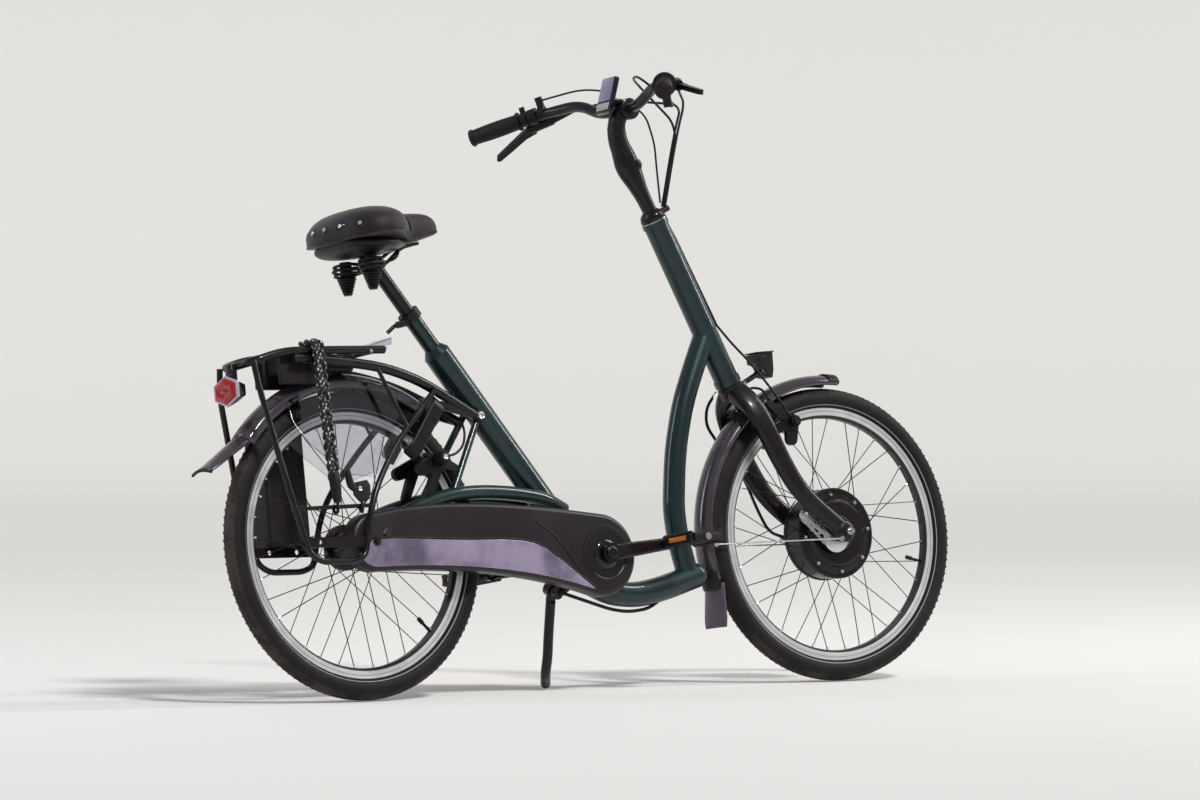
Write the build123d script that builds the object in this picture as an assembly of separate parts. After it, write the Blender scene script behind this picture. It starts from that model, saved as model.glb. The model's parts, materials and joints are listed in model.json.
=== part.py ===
from build123d import *
import os
from math import atan2, cos, degrees, radians, sin, sqrt, tan

# A low step-through city bicycle with a front hub motor, parked on its side stand.
# It is modelled upright, X forward, Y left and Z up, with the rear axle at the
# origin, and then leans to its left onto the stand. All sizes are in millimetres.

# Wheels
wheelbase = 1210.0
rim_radius = 260.0
rim_depth = 21.0
rim_width = 25.0
rim_wall = 1.8
rim_well = 9.0
bead_depth = 6.0
brake_track = 14.0
tyre_height = 41.0
tyre_gap = 0.3
spoke_radius = 1.0
spokes_per_side = 18
rear_hub_radius = 36.0
rear_flange_radius = 45.0
rear_flange_half = 31.0
rear_axle_half = 84.0
motor_radius = 93.5
motor_half = 29.0
motor_cover_radius = 68.0
motor_cover_height = 7.0
front_axle_half = 88.0
axle_radius = 5.0
axle_nut_radius = 9.0
running_gap = 0.05

# Guards over the wheels
rear_guard_gap = 35.0
front_guard_gap = 27.0
guard_width = 56.0
guard_crown = 15.0
guard_wall = 2.2

# Steering
head_angle = 65.1
fork_offset = 71.0
steer_angle = -5.2
crown_clearance = 17.4
crown_height = 39.0
crown_gap = 1.0
head_tube_length = 370.4
head_tube_radius = 25.5
steerer_radius = 16.0
blade_inner = 50.0
blade_thickness = 20.0

# Frame
bracket_ahead = 564.0
bracket_drop = 36.0
bracket_radius = 23.0
bracket_half = 34.0
seat_angle = 52.3
seat_tube_radius = 27.5
seat_tube_length = 522.0
seat_neck_length = 14.0
seat_upper_radius = 17.0
seat_upper_length = 93.5
post_radius = 14.3
post_length = 144.0
main_tube_radius = 22.5
lower_tube_radius = 25.5
stay_radius = 14.0
strut_radius = 7.0
dropout_y = 66.0

# Rack over the rear guard
rack_gap = 39.0
rail_radius = 8.0
rail_half = 60.0
side_tube_radius = 10.0
leg_radius = 6.0
leg_y = 86.0

# Cranks
spindle_radius = 12.0
crank_length = 170.0
crank_raise = 6.0
crank_y = 88.0
pedal_y = 150.0
pedal_width = 96.0
pedal_length = 86.0
pedal_height = 24.0

# Chain case
case_inner = 42.0
case_outer = 76.0
case_front_radius = 82.0
case_rear_radius = 57.0

# Side stand
lean_angle = 8.4
stand_foot_x = 541.0
stand_foot_y = 128.0
stand_radius = 10.0

# Bars and what is on them, in places measured from the head tube's top
bar_radius = 11.1
bar_back = 55.5
bar_rise = 226.0
grip_radius = 16.5
grip_length = 105.6
hose_radius = 2.5

os.makedirs("parts", exist_ok=True)
nodes = {}


def rod(a, b, radius):
    """A round bar from point a to point b."""
    a = Vector(*a)
    b = Vector(*b)
    plane = Plane(origin=a, z_dir=b - a)
    return extrude(plane * Circle(radius), (b - a).length)


def cross_rod(x, z, y0, y1, radius):
    """A round bar along Y, from y0 to y1."""
    return rod((x, y0, z), (x, y1, z), radius)


def bend_radii(points):
    """The largest radius that each corner of a bent tube leaves room for."""
    radii = []
    for before, corner, after in zip(points, points[1:], points[2:]):
        a = Vector(*corner) - Vector(*before)
        b = Vector(*after) - Vector(*corner)
        turn = radians(a.get_angle(b))
        radii.append(0.45 * min(a.length, b.length) / tan(turn / 2))
    return radii


def bent_tube(points, radius):
    """A round tube along a path of straight runs joined by arcs."""
    corners = [tuple(Vector(*point)) for point in points]
    path = FilletPolyline(*corners, radius=bend_radii(corners))
    plane = Plane(origin=path @ 0, z_dir=path % 0)
    return sweep(plane * Circle(radius), path)


def bowed(a, b, shape):
    """The points of a bent tube from a to b.

    Each row of shape is how far along, how far off the straight line, and how far sideways.
    """
    a = Vector(*a)
    run = Vector(*b) - a
    flat = Vector(run.X, 0, run.Z).normalized()
    off = Vector(-flat.Z, 0, flat.X)
    middle = [a + run * share + off * bow + Vector(0, side, 0) for share, bow, side in shape]
    return [a, *middle, a + run]


def between(a, b, share):
    """The point at a share of the way from a to b."""
    return a + (b - a) * share


def mirrored(shape):
    """The same piece on the left side."""
    return mirror(shape, Plane.XZ)


def both_sides(shape):
    """A right-hand piece and its left-hand twin."""
    return Compound(children=[*shape.solids(), *mirrored(shape).solids()])


def main_solid(shape):
    """The largest solid that a cut leaves."""
    return shape.solids().sort_by(SortBy.VOLUME)[-1]


def side_plate(outline, y0, y1):
    """A plate parallel to the wheels from y0 to y1; outline is a sketch drawn in X and Z."""
    plane = Plane(origin=(0, y0, 0), x_dir=(1, 0, 0), z_dir=(0, -1, 0))
    return extrude(plane * outline, y0 - y1)


def hull_plate(circles, y0, y1):
    """A plate whose outline is stretched round circles, each given as x, z and radius."""
    rounds = [edge for x, z, radius in circles for edge in (Pos(x, z) * Circle(radius)).edges()]
    return side_plate(make_hull(rounds), y0, y1)


def block(x0, x1, y0, y1, z0, z1, rounding=0.0):
    """A box between two corners, with its edges rounded."""
    shape = Pos((x0 + x1) / 2, (y0 + y1) / 2, (z0 + z1) / 2) * Box(x1 - x0, y1 - y0, z1 - z0)
    if rounding:
        shape = fillet(shape.edges(), rounding)
    return shape


def ring_about_y(section):
    """A ring about the Y axis; its section is drawn with width along Y and radius along Z."""
    return revolve(Plane.YZ * section, Axis.Y)


def mirrored_outline(half):
    """A closed outline from its right half, listed from the top down."""
    return make_face(Polyline(*half, *[(-x, y) for x, y in reversed(half)], close=True))


# Places that the rest is measured from
tyre_radius = rim_radius + tyre_height
rear_guard_radius = tyre_radius + rear_guard_gap
front_guard_radius = tyre_radius + front_guard_gap
rack_top = rear_guard_radius + rack_gap
rear_axle = Vector(0, 0, 0)
front_axle = Vector(wheelbase, 0, 0)
bracket = Vector(bracket_ahead, 0, -bracket_drop)

head = radians(head_angle)
axis_dir = Vector(-cos(head), 0, sin(head))
axis_front = Vector(sin(head), 0, cos(head))
axis_foot = front_axle - axis_front * fork_offset


def on_axis(along, ahead=0.0, side=0.0):
    """A point along the steering axis from its foot, moved ahead of it and sideways."""
    return axis_foot + axis_dir * along + axis_front * ahead + Vector(0, side, 0)


crown_low = sqrt((front_guard_radius + crown_clearance) ** 2 - fork_offset ** 2)
crown_high = crown_low + crown_height
head_low = crown_high + crown_gap
head_high = head_low + head_tube_length
head_top = on_axis(head_high)

seat = radians(seat_angle)
seat_dir = Vector(-cos(seat), 0, sin(seat))
seat_front = Vector(sin(seat), 0, cos(seat))


def on_seat(along, ahead=0.0, side=0.0):
    """A point along the seat tube from the bottom bracket, moved ahead of it and sideways."""
    return bracket + seat_dir * along + seat_front * ahead + Vector(0, side, 0)


seat_neck_high = seat_tube_length + seat_neck_length
seat_tube_high = seat_tube_length + seat_upper_length
post_high = seat_tube_high + post_length
saddle_at = on_seat(post_high)


# Wheels, built about the Y axis
def wheel_rim():
    """An alloy rim of box section with flat braking tracks."""
    half = rim_width / 2
    inner = half - rim_wall
    well_half = half - 5.5
    base = rim_radius - rim_depth
    outline = [
        (well_half, rim_radius - rim_well), (inner, rim_radius - bead_depth), (inner, rim_radius), (half, rim_radius),
        (half, rim_radius - brake_track), (half / 2, base),
    ]
    return ring_about_y(mirrored_outline(outline))


tyre_inner = rim_width / 2 - rim_wall - tyre_gap
tyre_lip = rim_radius + tyre_gap
tyre_crown = tyre_radius - tyre_lip
tyre_section = (tyre_inner ** 2 + tyre_crown ** 2) / (2 * tyre_crown)


def wheel_tyre():
    """A tyre whose beads sit between the rim's lips."""
    low = rim_radius - bead_depth + tyre_gap
    crown = ThreePointArc((-tyre_inner, tyre_lip), (0, tyre_radius), (tyre_inner, tyre_lip))
    walls = Polyline((tyre_inner, tyre_lip), (tyre_inner, low), (-tyre_inner, low), (-tyre_inner, tyre_lip))
    return ring_about_y(make_face([crown, walls]))


def wheel_spokes(flange_radius, flange_half, lean):
    """Crossed spokes from both hub flanges to the rim, each pulled round by the lean."""
    spokes = []
    hole = rim_radius - rim_depth - tyre_gap
    hole_half = 2.5
    flange_step = 3.0
    for side in (-1, 1):
        for i in range(spokes_per_side):
            turn = 360 / spokes_per_side * (i + side / 4)
            pull = lean if i % 2 else -lean
            head_y = side * (flange_half + (flange_step if i % 2 else -flange_step))
            a = radians(turn + pull)
            b = radians(turn)
            start = Vector(flange_radius * sin(a), head_y, flange_radius * cos(a))
            end = Vector(hole * sin(b), side * hole_half, hole * cos(b))
            plane = Plane(origin=start, z_dir=end - start)
            spokes.append(extrude(plane * RegularPolygon(spoke_radius, 6), (end - start).length))
    return Compound(children=spokes)


def rear_hub():
    """A geared hub: two flanges, a barrel and a bored end on each side."""
    f = rear_flange_half
    bore = axle_radius + running_gap
    half = [
        (44, bore), (44, 20), (f + 5, 24), (f + 5, rear_flange_radius), (f - 5, rear_flange_radius),
        (f - 8, rear_hub_radius),
    ]
    return ring_about_y(mirrored_outline(half))


def hub_motor():
    """The flat drum of the hub motor, with a stepped cover on each side."""
    h = motor_half
    cover = h + motor_cover_height
    r = motor_radius
    c = motor_cover_radius
    half = [
        (46, axle_radius + running_gap), (46, 17), (cover + 2, 22), (cover + 2, 34), (cover, 37), (cover, c - 4),
        (cover - 3, c), (h, c + 3), (h - 2, r - 9), (h, r - 7), (h, r - 3), (h - 3, r), (h - 9, r), (h - 10, r - 2),
    ]
    return ring_about_y(mirrored_outline(half))


rear_wheel_at = Pos(*rear_axle)
front_wheel_at = Pos(*front_axle)
nodes["rear_tyre"] = rear_wheel_at * wheel_tyre()
nodes["rear_rim"] = rear_wheel_at * wheel_rim()
nodes["rear_spokes"] = rear_wheel_at * wheel_spokes(rear_flange_radius + spoke_radius, rear_flange_half, 55)
nodes["rear_hub"] = rear_wheel_at * rear_hub()
nodes["front_tyre"] = front_wheel_at * wheel_tyre()
nodes["front_rim"] = front_wheel_at * wheel_rim()
nodes["front_spokes"] = front_wheel_at * wheel_spokes(motor_radius + spoke_radius, motor_half - 9, 22)
nodes["hub_motor"] = front_wheel_at * hub_motor()


def axle_with_nuts(at, half, seat_y):
    """An axle with a washer and a six-sided nut outside each dropout."""
    axle = cross_rod(at.X, at.Z, -half, half, axle_radius)
    for side in (-1, 1):
        plane = Plane(origin=(at.X, side * seat_y, at.Z), x_dir=(1, 0, 0), z_dir=(0, side, 0))
        axle += extrude(plane * Circle(axle_nut_radius + 2), 2)
        axle += extrude(plane.offset(2) * RegularPolygon(axle_nut_radius, 6), 8)
    return axle


nodes["rear_axle"] = axle_with_nuts(rear_axle, rear_axle_half, dropout_y + 5)

# The front axle carries a slotted arm that stops it from turning in the right-hand blade
blade_outer = blade_inner + blade_thickness
arm_end = front_axle + Vector(-92, 0, 39)
arm_low = front_axle + Vector(-16, 0, -16)
torque_arm = hull_plate(
    [(arm_end.X, arm_end.Z, 9), (arm_low.X, arm_low.Z, 10)], -blade_inner + 3, -blade_inner,
)
torque_arm += hull_plate([(front_axle.X - 4, front_axle.Z - 10, 22)], -blade_inner + 3, -blade_inner)
for share in (0.35, 0.55, 0.75):
    slot_at = between(arm_end, arm_low, share)
    torque_arm -= Pos(slot_at.X, 0, slot_at.Z) * Rot(0, -20, 0) * Box(4, 2 * blade_outer, 13)
front_spindle = axle_with_nuts(front_axle, front_axle_half, blade_outer)
nodes["front_axle"] = front_spindle + torque_arm

# Frame tubes. Each is cut where it meets the one that carries it.
head_outer = rod(on_axis(head_low), on_axis(head_high), head_tube_radius)
head_tube = head_outer + rod(on_axis(head_low), on_axis(head_low + 14), head_tube_radius + 2.5)
head_tube += rod(on_axis(head_high - 12), on_axis(head_high), head_tube_radius + 2)
head_bore = rod(on_axis(head_low - 20), on_axis(head_high + 20), steerer_radius + running_gap)
nodes["head_tube"] = head_tube - head_bore

bracket_shell = cross_rod(bracket.X, bracket.Z, -bracket_half, bracket_half, bracket_radius)
bracket_bore = cross_rod(bracket.X, bracket.Z, -60, 60, spindle_radius + running_gap)

# Columns: share of the way, distance off the straight line, distance sideways
lower_bow = [(0.104, -12.2, 0), (0.267, -34.9, 0), (0.487, -40.6, 0), (0.728, -26.2, 0)]
main_bow = [(0.117, -19.1, 0), (0.283, -43.6, 0), (0.489, -56.0, 0), (0.72, -51.8, 0), (0.84, -35.9, 0)]
stay_bow = [
    (0.056, 24.3, 0.3), (0.195, 46.5, -2.6), (0.376, 61.2, -5.4), (0.557, 58.5, -6.3), (0.747, 44.2, -8.5),
    (0.898, 25.4, -8.9),
]

lower_front = front_axle + Vector(-360, 0, -77)
lower_path = bowed(bracket + Vector(-24, 0, -33), lower_front, lower_bow)
lower_tube = bent_tube(lower_path, lower_tube_radius)
lower_tube += Pos(*lower_front) * Sphere(lower_tube_radius)
nodes["lower_tube"] = lower_tube - bracket_shell

main_neck = on_axis(head_low + 108, -12)
main_path = bowed(main_neck, lower_front + Vector(-15, 0, -12), main_bow)
main_tube = bent_tube(main_path, main_tube_radius)
nodes["main_tube"] = main_solid(main_tube - head_outer - lower_tube)

seat_lower = rod(bracket, on_seat(seat_tube_length), seat_tube_radius)
neck_plane = Plane(origin=on_seat(seat_tube_length), z_dir=seat_dir)
seat_neck = loft([
    neck_plane * Circle(seat_tube_radius),
    neck_plane.offset(seat_neck_length) * Circle(seat_upper_radius + 1),
])
seat_upper = rod(on_seat(seat_neck_high), on_seat(seat_tube_high), seat_upper_radius)
post_bore = rod(on_seat(seat_tube_length - 76), on_seat(seat_tube_high + 40), post_radius + running_gap)
seat_tube = seat_lower + seat_neck + seat_upper - post_bore
nodes["seat_tube"] = main_solid(seat_tube - bracket_shell - lower_tube)
nodes["bracket_shell"] = bracket_shell - bracket_bore

stay_path = bowed((22, 1 - dropout_y, 10), on_seat(107, 20, -16), stay_bow)
stay = bent_tube(stay_path, stay_radius)
dropout = side_plate(Pos(8, 0) * RectangleRounded(54, 44, 8), -dropout_y + 5, -dropout_y - 5)
axle_hole = cross_rod(0, 0, -rear_axle_half, rear_axle_half, axle_radius)
nodes["right_stay"] = main_solid(stay + dropout - axle_hole - seat_lower)
nodes["left_stay"] = mirrored(nodes["right_stay"])

strut_top = on_seat(381, -17, -26)
strut_foot = between(stay_path[3], stay_path[4], 0.15)
strut = rod(strut_top, strut_foot, strut_radius)
nodes["stay_struts"] = both_sides(main_solid(strut - seat_lower - stay))

# Seat post, its clamp and the saddle's frame
nodes["seat_post"] = rod(on_seat(seat_tube_length - 63), on_seat(post_high), post_radius)
clamp_from = seat_tube_high - 8
clamp = rod(on_seat(clamp_from), on_seat(clamp_from + 17), seat_upper_radius + 5)
clamp_eye = on_seat(clamp_from + 8, -seat_upper_radius - 8)
clamp += rod(clamp_eye + Vector(0, -13, 0), clamp_eye + Vector(0, 16, 0), 7)
lever_tip = clamp_eye + Vector(-20, 24, -14)
clamp += bent_tube([clamp_eye + Vector(0, 14, 0), clamp_eye + Vector(-3, 22, -1), lever_tip], 4)
clamp_bore = rod(on_seat(clamp_from), on_seat(clamp_from + 30), post_radius + running_gap)
nodes["seat_clamp"] = main_solid(clamp - seat_upper - clamp_bore)

# Columns: distance behind the post's top, half width, radius of each round of the saddle's plan
saddle_rounds = [(-38, 60, 64), (-38, -60, 64), (136, 0, 28)]
saddle_base = saddle_at.Z + 17
saddle_height = 80
saddle_plan = make_hull([
    edge for x, y, radius in saddle_rounds for edge in (Pos(saddle_at.X + x, y) * Circle(radius)).edges()
])
saddle = extrude(Plane.XY.offset(saddle_base) * saddle_plan, saddle_height)
saddle = fillet(saddle.edges().group_by(Axis.Z)[-1], 16)
# Columns: ahead of the post's top, height over the saddle's base
saddle_side = [(-110, 0), (-110, 50), (-86, 70), (-30, 80), (50, 74), (110, 56), (158, 40), (170, 24), (170, 0)]
saddle_profile = make_face(Polyline(*[(saddle_at.X + x, saddle_base + z) for x, z in saddle_side], close=True))
nodes["saddle"] = main_solid(saddle & side_plate(saddle_profile, 130, -130))

pan_low = saddle_base - 9
springs = block(saddle_at.X - 46, saddle_at.X + 34, -30, 30, pan_low - 16, pan_low + 2)
springs += block(saddle_at.X - 80, saddle_at.X + 10, -90, 90, pan_low, saddle_base - 0.3, 4)
for side in (-1, 1):
    ribs = [(9, 0), (11, 10), (13.5, 12), (13.5, 26), (16, 28), (16, 44), (14, 47), (14, 66)]
    half_cone = make_face(Polyline((0, 0), *ribs, (0, 66), close=True))
    springs += Pos(saddle_at.X - 24, side * 42, pan_low - 64) * revolve(Plane.XZ * half_cone, Axis.Z)
    rail = [
        (saddle_at.X - 24, side * 42, pan_low - 60), (saddle_at.X - 4, side * 30, pan_low - 34),
        (saddle_at.X + 34, side * 24, pan_low - 8), (saddle_at.X + 78, side * 20, pan_low + 1),
        (saddle_at.X + 112, side * 16, saddle_base - 5),
    ]
    springs += bent_tube(rail, 4)
springs += block(saddle_at.X + 96, saddle_at.X + 124, -20, 20, saddle_base - 8, saddle_base - 0.3, 3)
nodes["saddle_frame"] = springs - rod(on_seat(post_high - 90), saddle_at, post_radius)

# Luggage rack: rails on top, side tubes to the seat tube and hanging legs round the hub.
# Columns: x, y, height against the rails' straight part
rail_bends = [(72, 58, 1), (-60, 60, 0), (-170, 60, -2), (-238, 48, -21)]
rail_path = [(x, -y, rack_top + z) for x, y, z in rail_bends]
rail_path += [(-248, 0, rack_top - 25)] + [(x, y, rack_top + z) for x, y, z in reversed(rail_bends)]
rails = bent_tube(rail_path, rail_radius)
bar_half = 4.5
clip_x = 22
for x in (60, clip_x, -36, -98, -160):
    rails += cross_rod(x, rack_top, -rail_half, rail_half, bar_half)
nodes["rack_rails"] = rails

side_start = Vector(-150, -rail_half, rack_top - 16)
side_end = on_seat(371, -28, -32)
side_bow = [(0.24, 24, -3), (0.46, 38, -7), (0.66, 36, -3), (0.84, 19, 1)]
side_tube = bent_tube(bowed(side_start, side_end, side_bow), side_tube_radius)
nodes["rack_side_right"] = main_solid(side_tube - rails - seat_lower - strut)
nodes["rack_side_left"] = mirrored(nodes["rack_side_right"])

hub_low = -39
leg_path = [
    (196, -50, rack_top - 76), (74, -64, rack_top - 187), (-6, -84, 84), (-36, -leg_y, hub_low + 10),
    (-64, -leg_y, hub_low), (-140, -leg_y, hub_low), (-168, -leg_y, hub_low + 16), (-202, -84, 99),
    (-238, -66, rack_top - 76), (-240, -56, rack_top - 20),
]
leg = bent_tube(leg_path, leg_radius)
plate = side_plate(Pos(-105, -1) * Rectangle(152, 20), -leg_y + 4, -leg_y)
for x in (-140, -75):
    plate -= cross_rod(x, -1, -100, 0, 5)
leg = leg + plate + rod((34, -60, rack_top - 2), (112, -61, rack_top - 154), 4)
leg = leg - rails - side_tube
bag_bar = rod((-194, -84, 64), (-14, -83, 69), 4)
nodes["rack_leg_right"] = main_solid(leg + bag_bar)
nodes["rack_leg_left"] = main_solid(mirrored(main_solid(leg)))

box_low = rear_guard_radius + 0.3
box_high = rack_top - 5
rack_box = block(-148, 10, -42, 42, box_low, box_high, 6)
for y in (-32, -14, 14, 32):
    rack_box -= block(-120, -20, y - 3, y + 3, box_high - 3, box_high + 5)
nodes["rack_box"] = rack_box
battery_low = 9.3
battery_high = rack_top - 131
battery = block(-150, -52, rail_half, 128, battery_low, battery_high, 10)
battery -= block(-132, -70, 125, 130, battery_low + 30, battery_high - 60)
nodes["battery"] = battery
strap_top = rack_top + rail_radius + 2
strap_side = make_face(Polyline(
    (-rail_half - 10, strap_top), (-rail_half - 14, strap_top), (-92.2, 61), (-88.2, 61), close=True,
))
nodes["strap"] = extrude(Plane.YZ.offset(-112) * strap_side, 28)
clip_side = make_face([
    Polyline((20, 5), (44, 6), (118, 27), (119, 25), (46, 3), (20, 2)), Line((20, 2), (20, 5)),
])
clip = Pos(0, 0, rack_top + bar_half) * side_plate(clip_side, 26, -26)
clip += cross_rod(clip_x, rack_top + bar_half + 3.2, -34, 34, 3.2)
nodes["rack_clip"] = main_solid(clip - rails)


# Mudguards
def guard_section(radius, width, crown):
    """The crowned section of a guard, its edges turned in a little."""
    half = width / 2
    low = radius - crown
    lip = 3.5
    return make_face([
        ThreePointArc((-half, low), (0, radius), (half, low)),
        Polyline((half, low), (half - lip, low - lip), (half - lip - guard_wall, low - lip + 1), (half - guard_wall, low)),
        ThreePointArc((half - guard_wall, low), (0, radius - guard_wall), (-half + guard_wall, low)),
        Polyline((-half + guard_wall, low), (-half + lip + guard_wall, low - lip + 1), (-half + lip, low - lip), (-half, low)),
    ])


def mudguard(radius, start, end):
    """A guard about the wheel's axle from one angle to another, measured up from straight ahead."""
    ring = revolve(Plane.YZ * guard_section(radius, guard_width, guard_crown), Axis.Y, end - start)
    return Rot(0, 90 - end, 0) * ring


def mud_flap(radius, angle, length, flare, width):
    """The flat flap below a guard's end, which leans out from the wheel and widens."""
    plane = Plane.YZ * Pos(0, radius - guard_crown)
    top = plane * Pos(0, guard_crown / 2) * RectangleRounded(guard_width, 3, 1.4)
    low_plane = Plane.YZ.offset(-length)
    low = low_plane * Pos(0, radius - guard_crown / 2 + flare) * RectangleRounded(width, 3, 1.4)
    return Rot(0, 90 - angle, 0) * loft([top, low])


rear_guard_end = 146
front_guard_end = 199
nodes["rear_mudguard"] = mudguard(rear_guard_radius, 48, rear_guard_end) + mud_flap(
    rear_guard_radius, rear_guard_end, 92, 26, 66,
)
front_guard = mudguard(front_guard_radius, 84, front_guard_end) + mud_flap(
    front_guard_radius, front_guard_end, 82, 4, 68,
)
front_guard += mudguard(front_guard_radius + 2.4, 84, 87)
front_guard = front_wheel_at * front_guard
guard_bolt = rod(on_axis(crown_low - 2.4), on_axis(crown_low - 22), 6)
guard_bolt -= front_wheel_at * cross_rod(0, 0, -50, 50, front_guard_radius - 1)
nodes["front_mudguard"] = front_guard + guard_bolt.solids().sort_by(Axis.Z)[-1]

# Thin rods carry the front guard's lower end from the axle
rod_end = front_axle + Vector(-front_guard_radius + 24, -guard_width / 2 - 1.9, -15)
rod_start = front_axle + Vector(-18, -blade_outer - 3.3, -14)
guard_rod = rod(rod_start, rod_end, 1.6) + cross_rod(rod_end.X, rod_end.Z, -guard_width / 2 - 4, -guard_width / 2 - 0.2, 5)
guard_rod += cross_rod(rod_start.X, rod_start.Z, -blade_outer - 5, -blade_outer - 0.2, 5)
nodes["mudguard_stays"] = both_sides(guard_rod)

# Chain case, of four arcs round the axle and the bottom bracket
case_nose = bracket + Vector(-5, 0, -1)


def round_point(centre, radius, angle):
    """A point on a circle in the X-Z plane, its angle measured up from straight ahead."""
    a = radians(angle)
    return (centre.X + radius * cos(a), centre.Z + radius * sin(a))


def case_outline(inset):
    """The case's outline, moved inwards by the inset."""
    front = case_front_radius - inset
    rear = case_rear_radius - inset
    top_front = round_point(case_nose, front, 82)
    low_front = round_point(case_nose, front, 258)
    top_rear = round_point(rear_axle, rear, 88)
    low_rear = round_point(rear_axle, rear, 272)
    top_mid = ((top_front[0] + top_rear[0]) / 2 - 50, (top_front[1] + top_rear[1]) / 2 + 20)
    low_mid = ((low_front[0] + low_rear[0]) / 2 + 30, (low_front[1] + low_rear[1]) / 2 + 19)
    return make_face([
        ThreePointArc(top_rear, top_mid, top_front),
        ThreePointArc(top_front, round_point(case_nose, front, -10), low_front),
        ThreePointArc(low_front, low_mid, low_rear),
        ThreePointArc(low_rear, round_point(rear_axle, rear, 180), top_rear),
    ])


case_edge = 5.0
case_step = 2.0
case = side_plate(case_outline(0), -case_inner, -case_outer + case_edge)
case += side_plate(case_outline(case_step), -case_outer + case_edge, -case_outer + case_step)
case += side_plate(case_outline(case_edge), -case_outer + case_step, -case_outer)
case_boss = case_outer + 2
boss_radius = 58.0
case += cross_rod(bracket.X, bracket.Z, -case_outer, -case_boss, boss_radius)
case -= cross_rod(bracket.X, bracket.Z, -case_outer + 3, -case_boss, 44)
case -= cross_rod(bracket.X, bracket.Z, -case_boss, 0, spindle_radius + 2)
case -= cross_rod(0, 0, -rear_flange_half - 21, 0, 27)
case -= bent_tube(stay_path, stay_radius + 0.3)
case -= side_plate(Pos(8, 0) * Rectangle(55, 45), -dropout_y + 26, -dropout_y - 5.3)
case -= cross_rod(0, 0, -rear_axle_half, 0, axle_nut_radius + 4)

# The glossy lower panel sits in a step of the case's outer face.
# Columns: share of the way from the rear axle to the bottom bracket, height
panel_top = [(0.1, 6), (0.54, 2), (0.71, -11), (0.8, -36), (0.85, -66), (0.93, -96)]
panel_points = [(bracket.X * share, z) for share, z in panel_top]
panel_region = make_face([
    Spline(*panel_points),
    Polyline(panel_points[-1], (panel_points[-1][0], -200), (panel_points[0][0], -200), panel_points[0]),
])
panel_depth = 5.0
panel_step = side_plate(panel_region, -case_outer + panel_depth, -case_outer - 1)
panel = side_plate(case_outline(case_step + 2), -case_outer + panel_depth, -case_outer + 1.2) & panel_step
nodes["case_panel"] = main_solid(panel)
nodes["chain_case"] = main_solid(case - panel_step)

# Cranks and pedals
rise = radians(crank_raise)
arm_dir = Vector(cos(rise), 0, sin(rise))


def crank_arm(side, direction):
    """One crank arm on its side of the axle, thinner towards the pedal."""
    start = bracket + Vector(0, side * crank_y, 0)
    end = start + direction * crank_length
    arm = loft([
        Plane(origin=start, x_dir=(0, 1, 0), z_dir=direction) * RectangleRounded(16, 33, 5),
        Plane(origin=end, x_dir=(0, 1, 0), z_dir=direction) * RectangleRounded(13, 23, 5),
    ])
    arm += rod(start - Vector(0, 8, 0), start + Vector(0, 8, 0), 20)
    arm += rod(start, start + Vector(0, side * 11, 0), 12)
    arm += rod(end - Vector(0, 7, 0), end + Vector(0, 7, 0), 13)
    return arm - rod(end - Vector(0, 20, 0), end + Vector(0, 20, 0), 6)


spindle = cross_rod(bracket.X, bracket.Z, -crank_y, crank_y, spindle_radius)
spindle += cross_rod(bracket.X, bracket.Z, -crank_y, -case_outer + 1.5, 19)
nodes["cranks"] = spindle + crank_arm(-1, arm_dir) + crank_arm(1, -arm_dir)


def pedal(side, direction):
    """A platform pedal: two toothed rails, a spindle housing and rubber blocks between."""
    centre = bracket + direction * crank_length
    inner = side * (crank_y + 10)
    outer = inner + side * pedal_width
    low_y, high_y = sorted((inner, outer))
    body = block(
        centre.X - pedal_length / 2, centre.X + pedal_length / 2, low_y, high_y,
        centre.Z - pedal_height / 2, centre.Z + pedal_height / 2,
    )
    body = fillet(body.edges().filter_by(Axis.Z), 8)
    for step in (-1, 1):
        for row in range(3):
            x = centre.X + step * (14 + 9 * row)
            body -= block(x - 2.4, x + 2.4, low_y + 9, high_y - 9, centre.Z - 40, centre.Z + 40)
        shelf = centre.X + step * pedal_length / 2
        body -= block(shelf - 3, shelf + 3, low_y + 22, high_y - 22, centre.Z - 6.5, centre.Z + 6.5)
    for row in range(7):
        y = low_y + 12 + row * (pedal_width - 24) / 6
        for step in (-1, 1):
            edge = centre.X + step * (pedal_length / 2 - 2)
            body -= block(edge - 6, edge + 6, y - 2.5, y + 2.5, centre.Z + pedal_height / 2 - 3, centre.Z + 40)
            body -= block(edge - 6, edge + 6, y - 2.5, y + 2.5, centre.Z - 40, centre.Z - pedal_height / 2 + 3)
    return body + cross_rod(centre.X, centre.Z, side * (crank_y - 7), inner + side * 20, 5.9)


nodes["right_pedal"] = pedal(-1, arm_dir)
nodes["left_pedal"] = pedal(1, -arm_dir)

# Fork: a broad crown and two flat blades that curve forward to the axle
steerer = rod(on_axis(crown_high), on_axis(head_high + 6), steerer_radius)
crown = rod(on_axis(crown_low - 1), on_axis(crown_high), 24)
shoulder = on_axis(crown_low + 15)
crown_bar = fillet(Box(52, 2 * blade_outer - 2, 34).edges(), 11)
crown += Pos(*shoulder) * Rot(0, head_angle - 90, 0) * crown_bar
nodes["fork_crown"] = crown + steerer

blade_y = -blade_inner - blade_thickness / 2
blade_bow = [(0.26, -17, 0), (0.526, -23, 0), (0.78, -15.5, 0)]
blade_ends = (on_axis(crown_low + 4, 0, blade_y), front_axle + Vector(-7, blade_y, -1))
blade_line = Spline(*bowed(*blade_ends, blade_bow))
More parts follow.
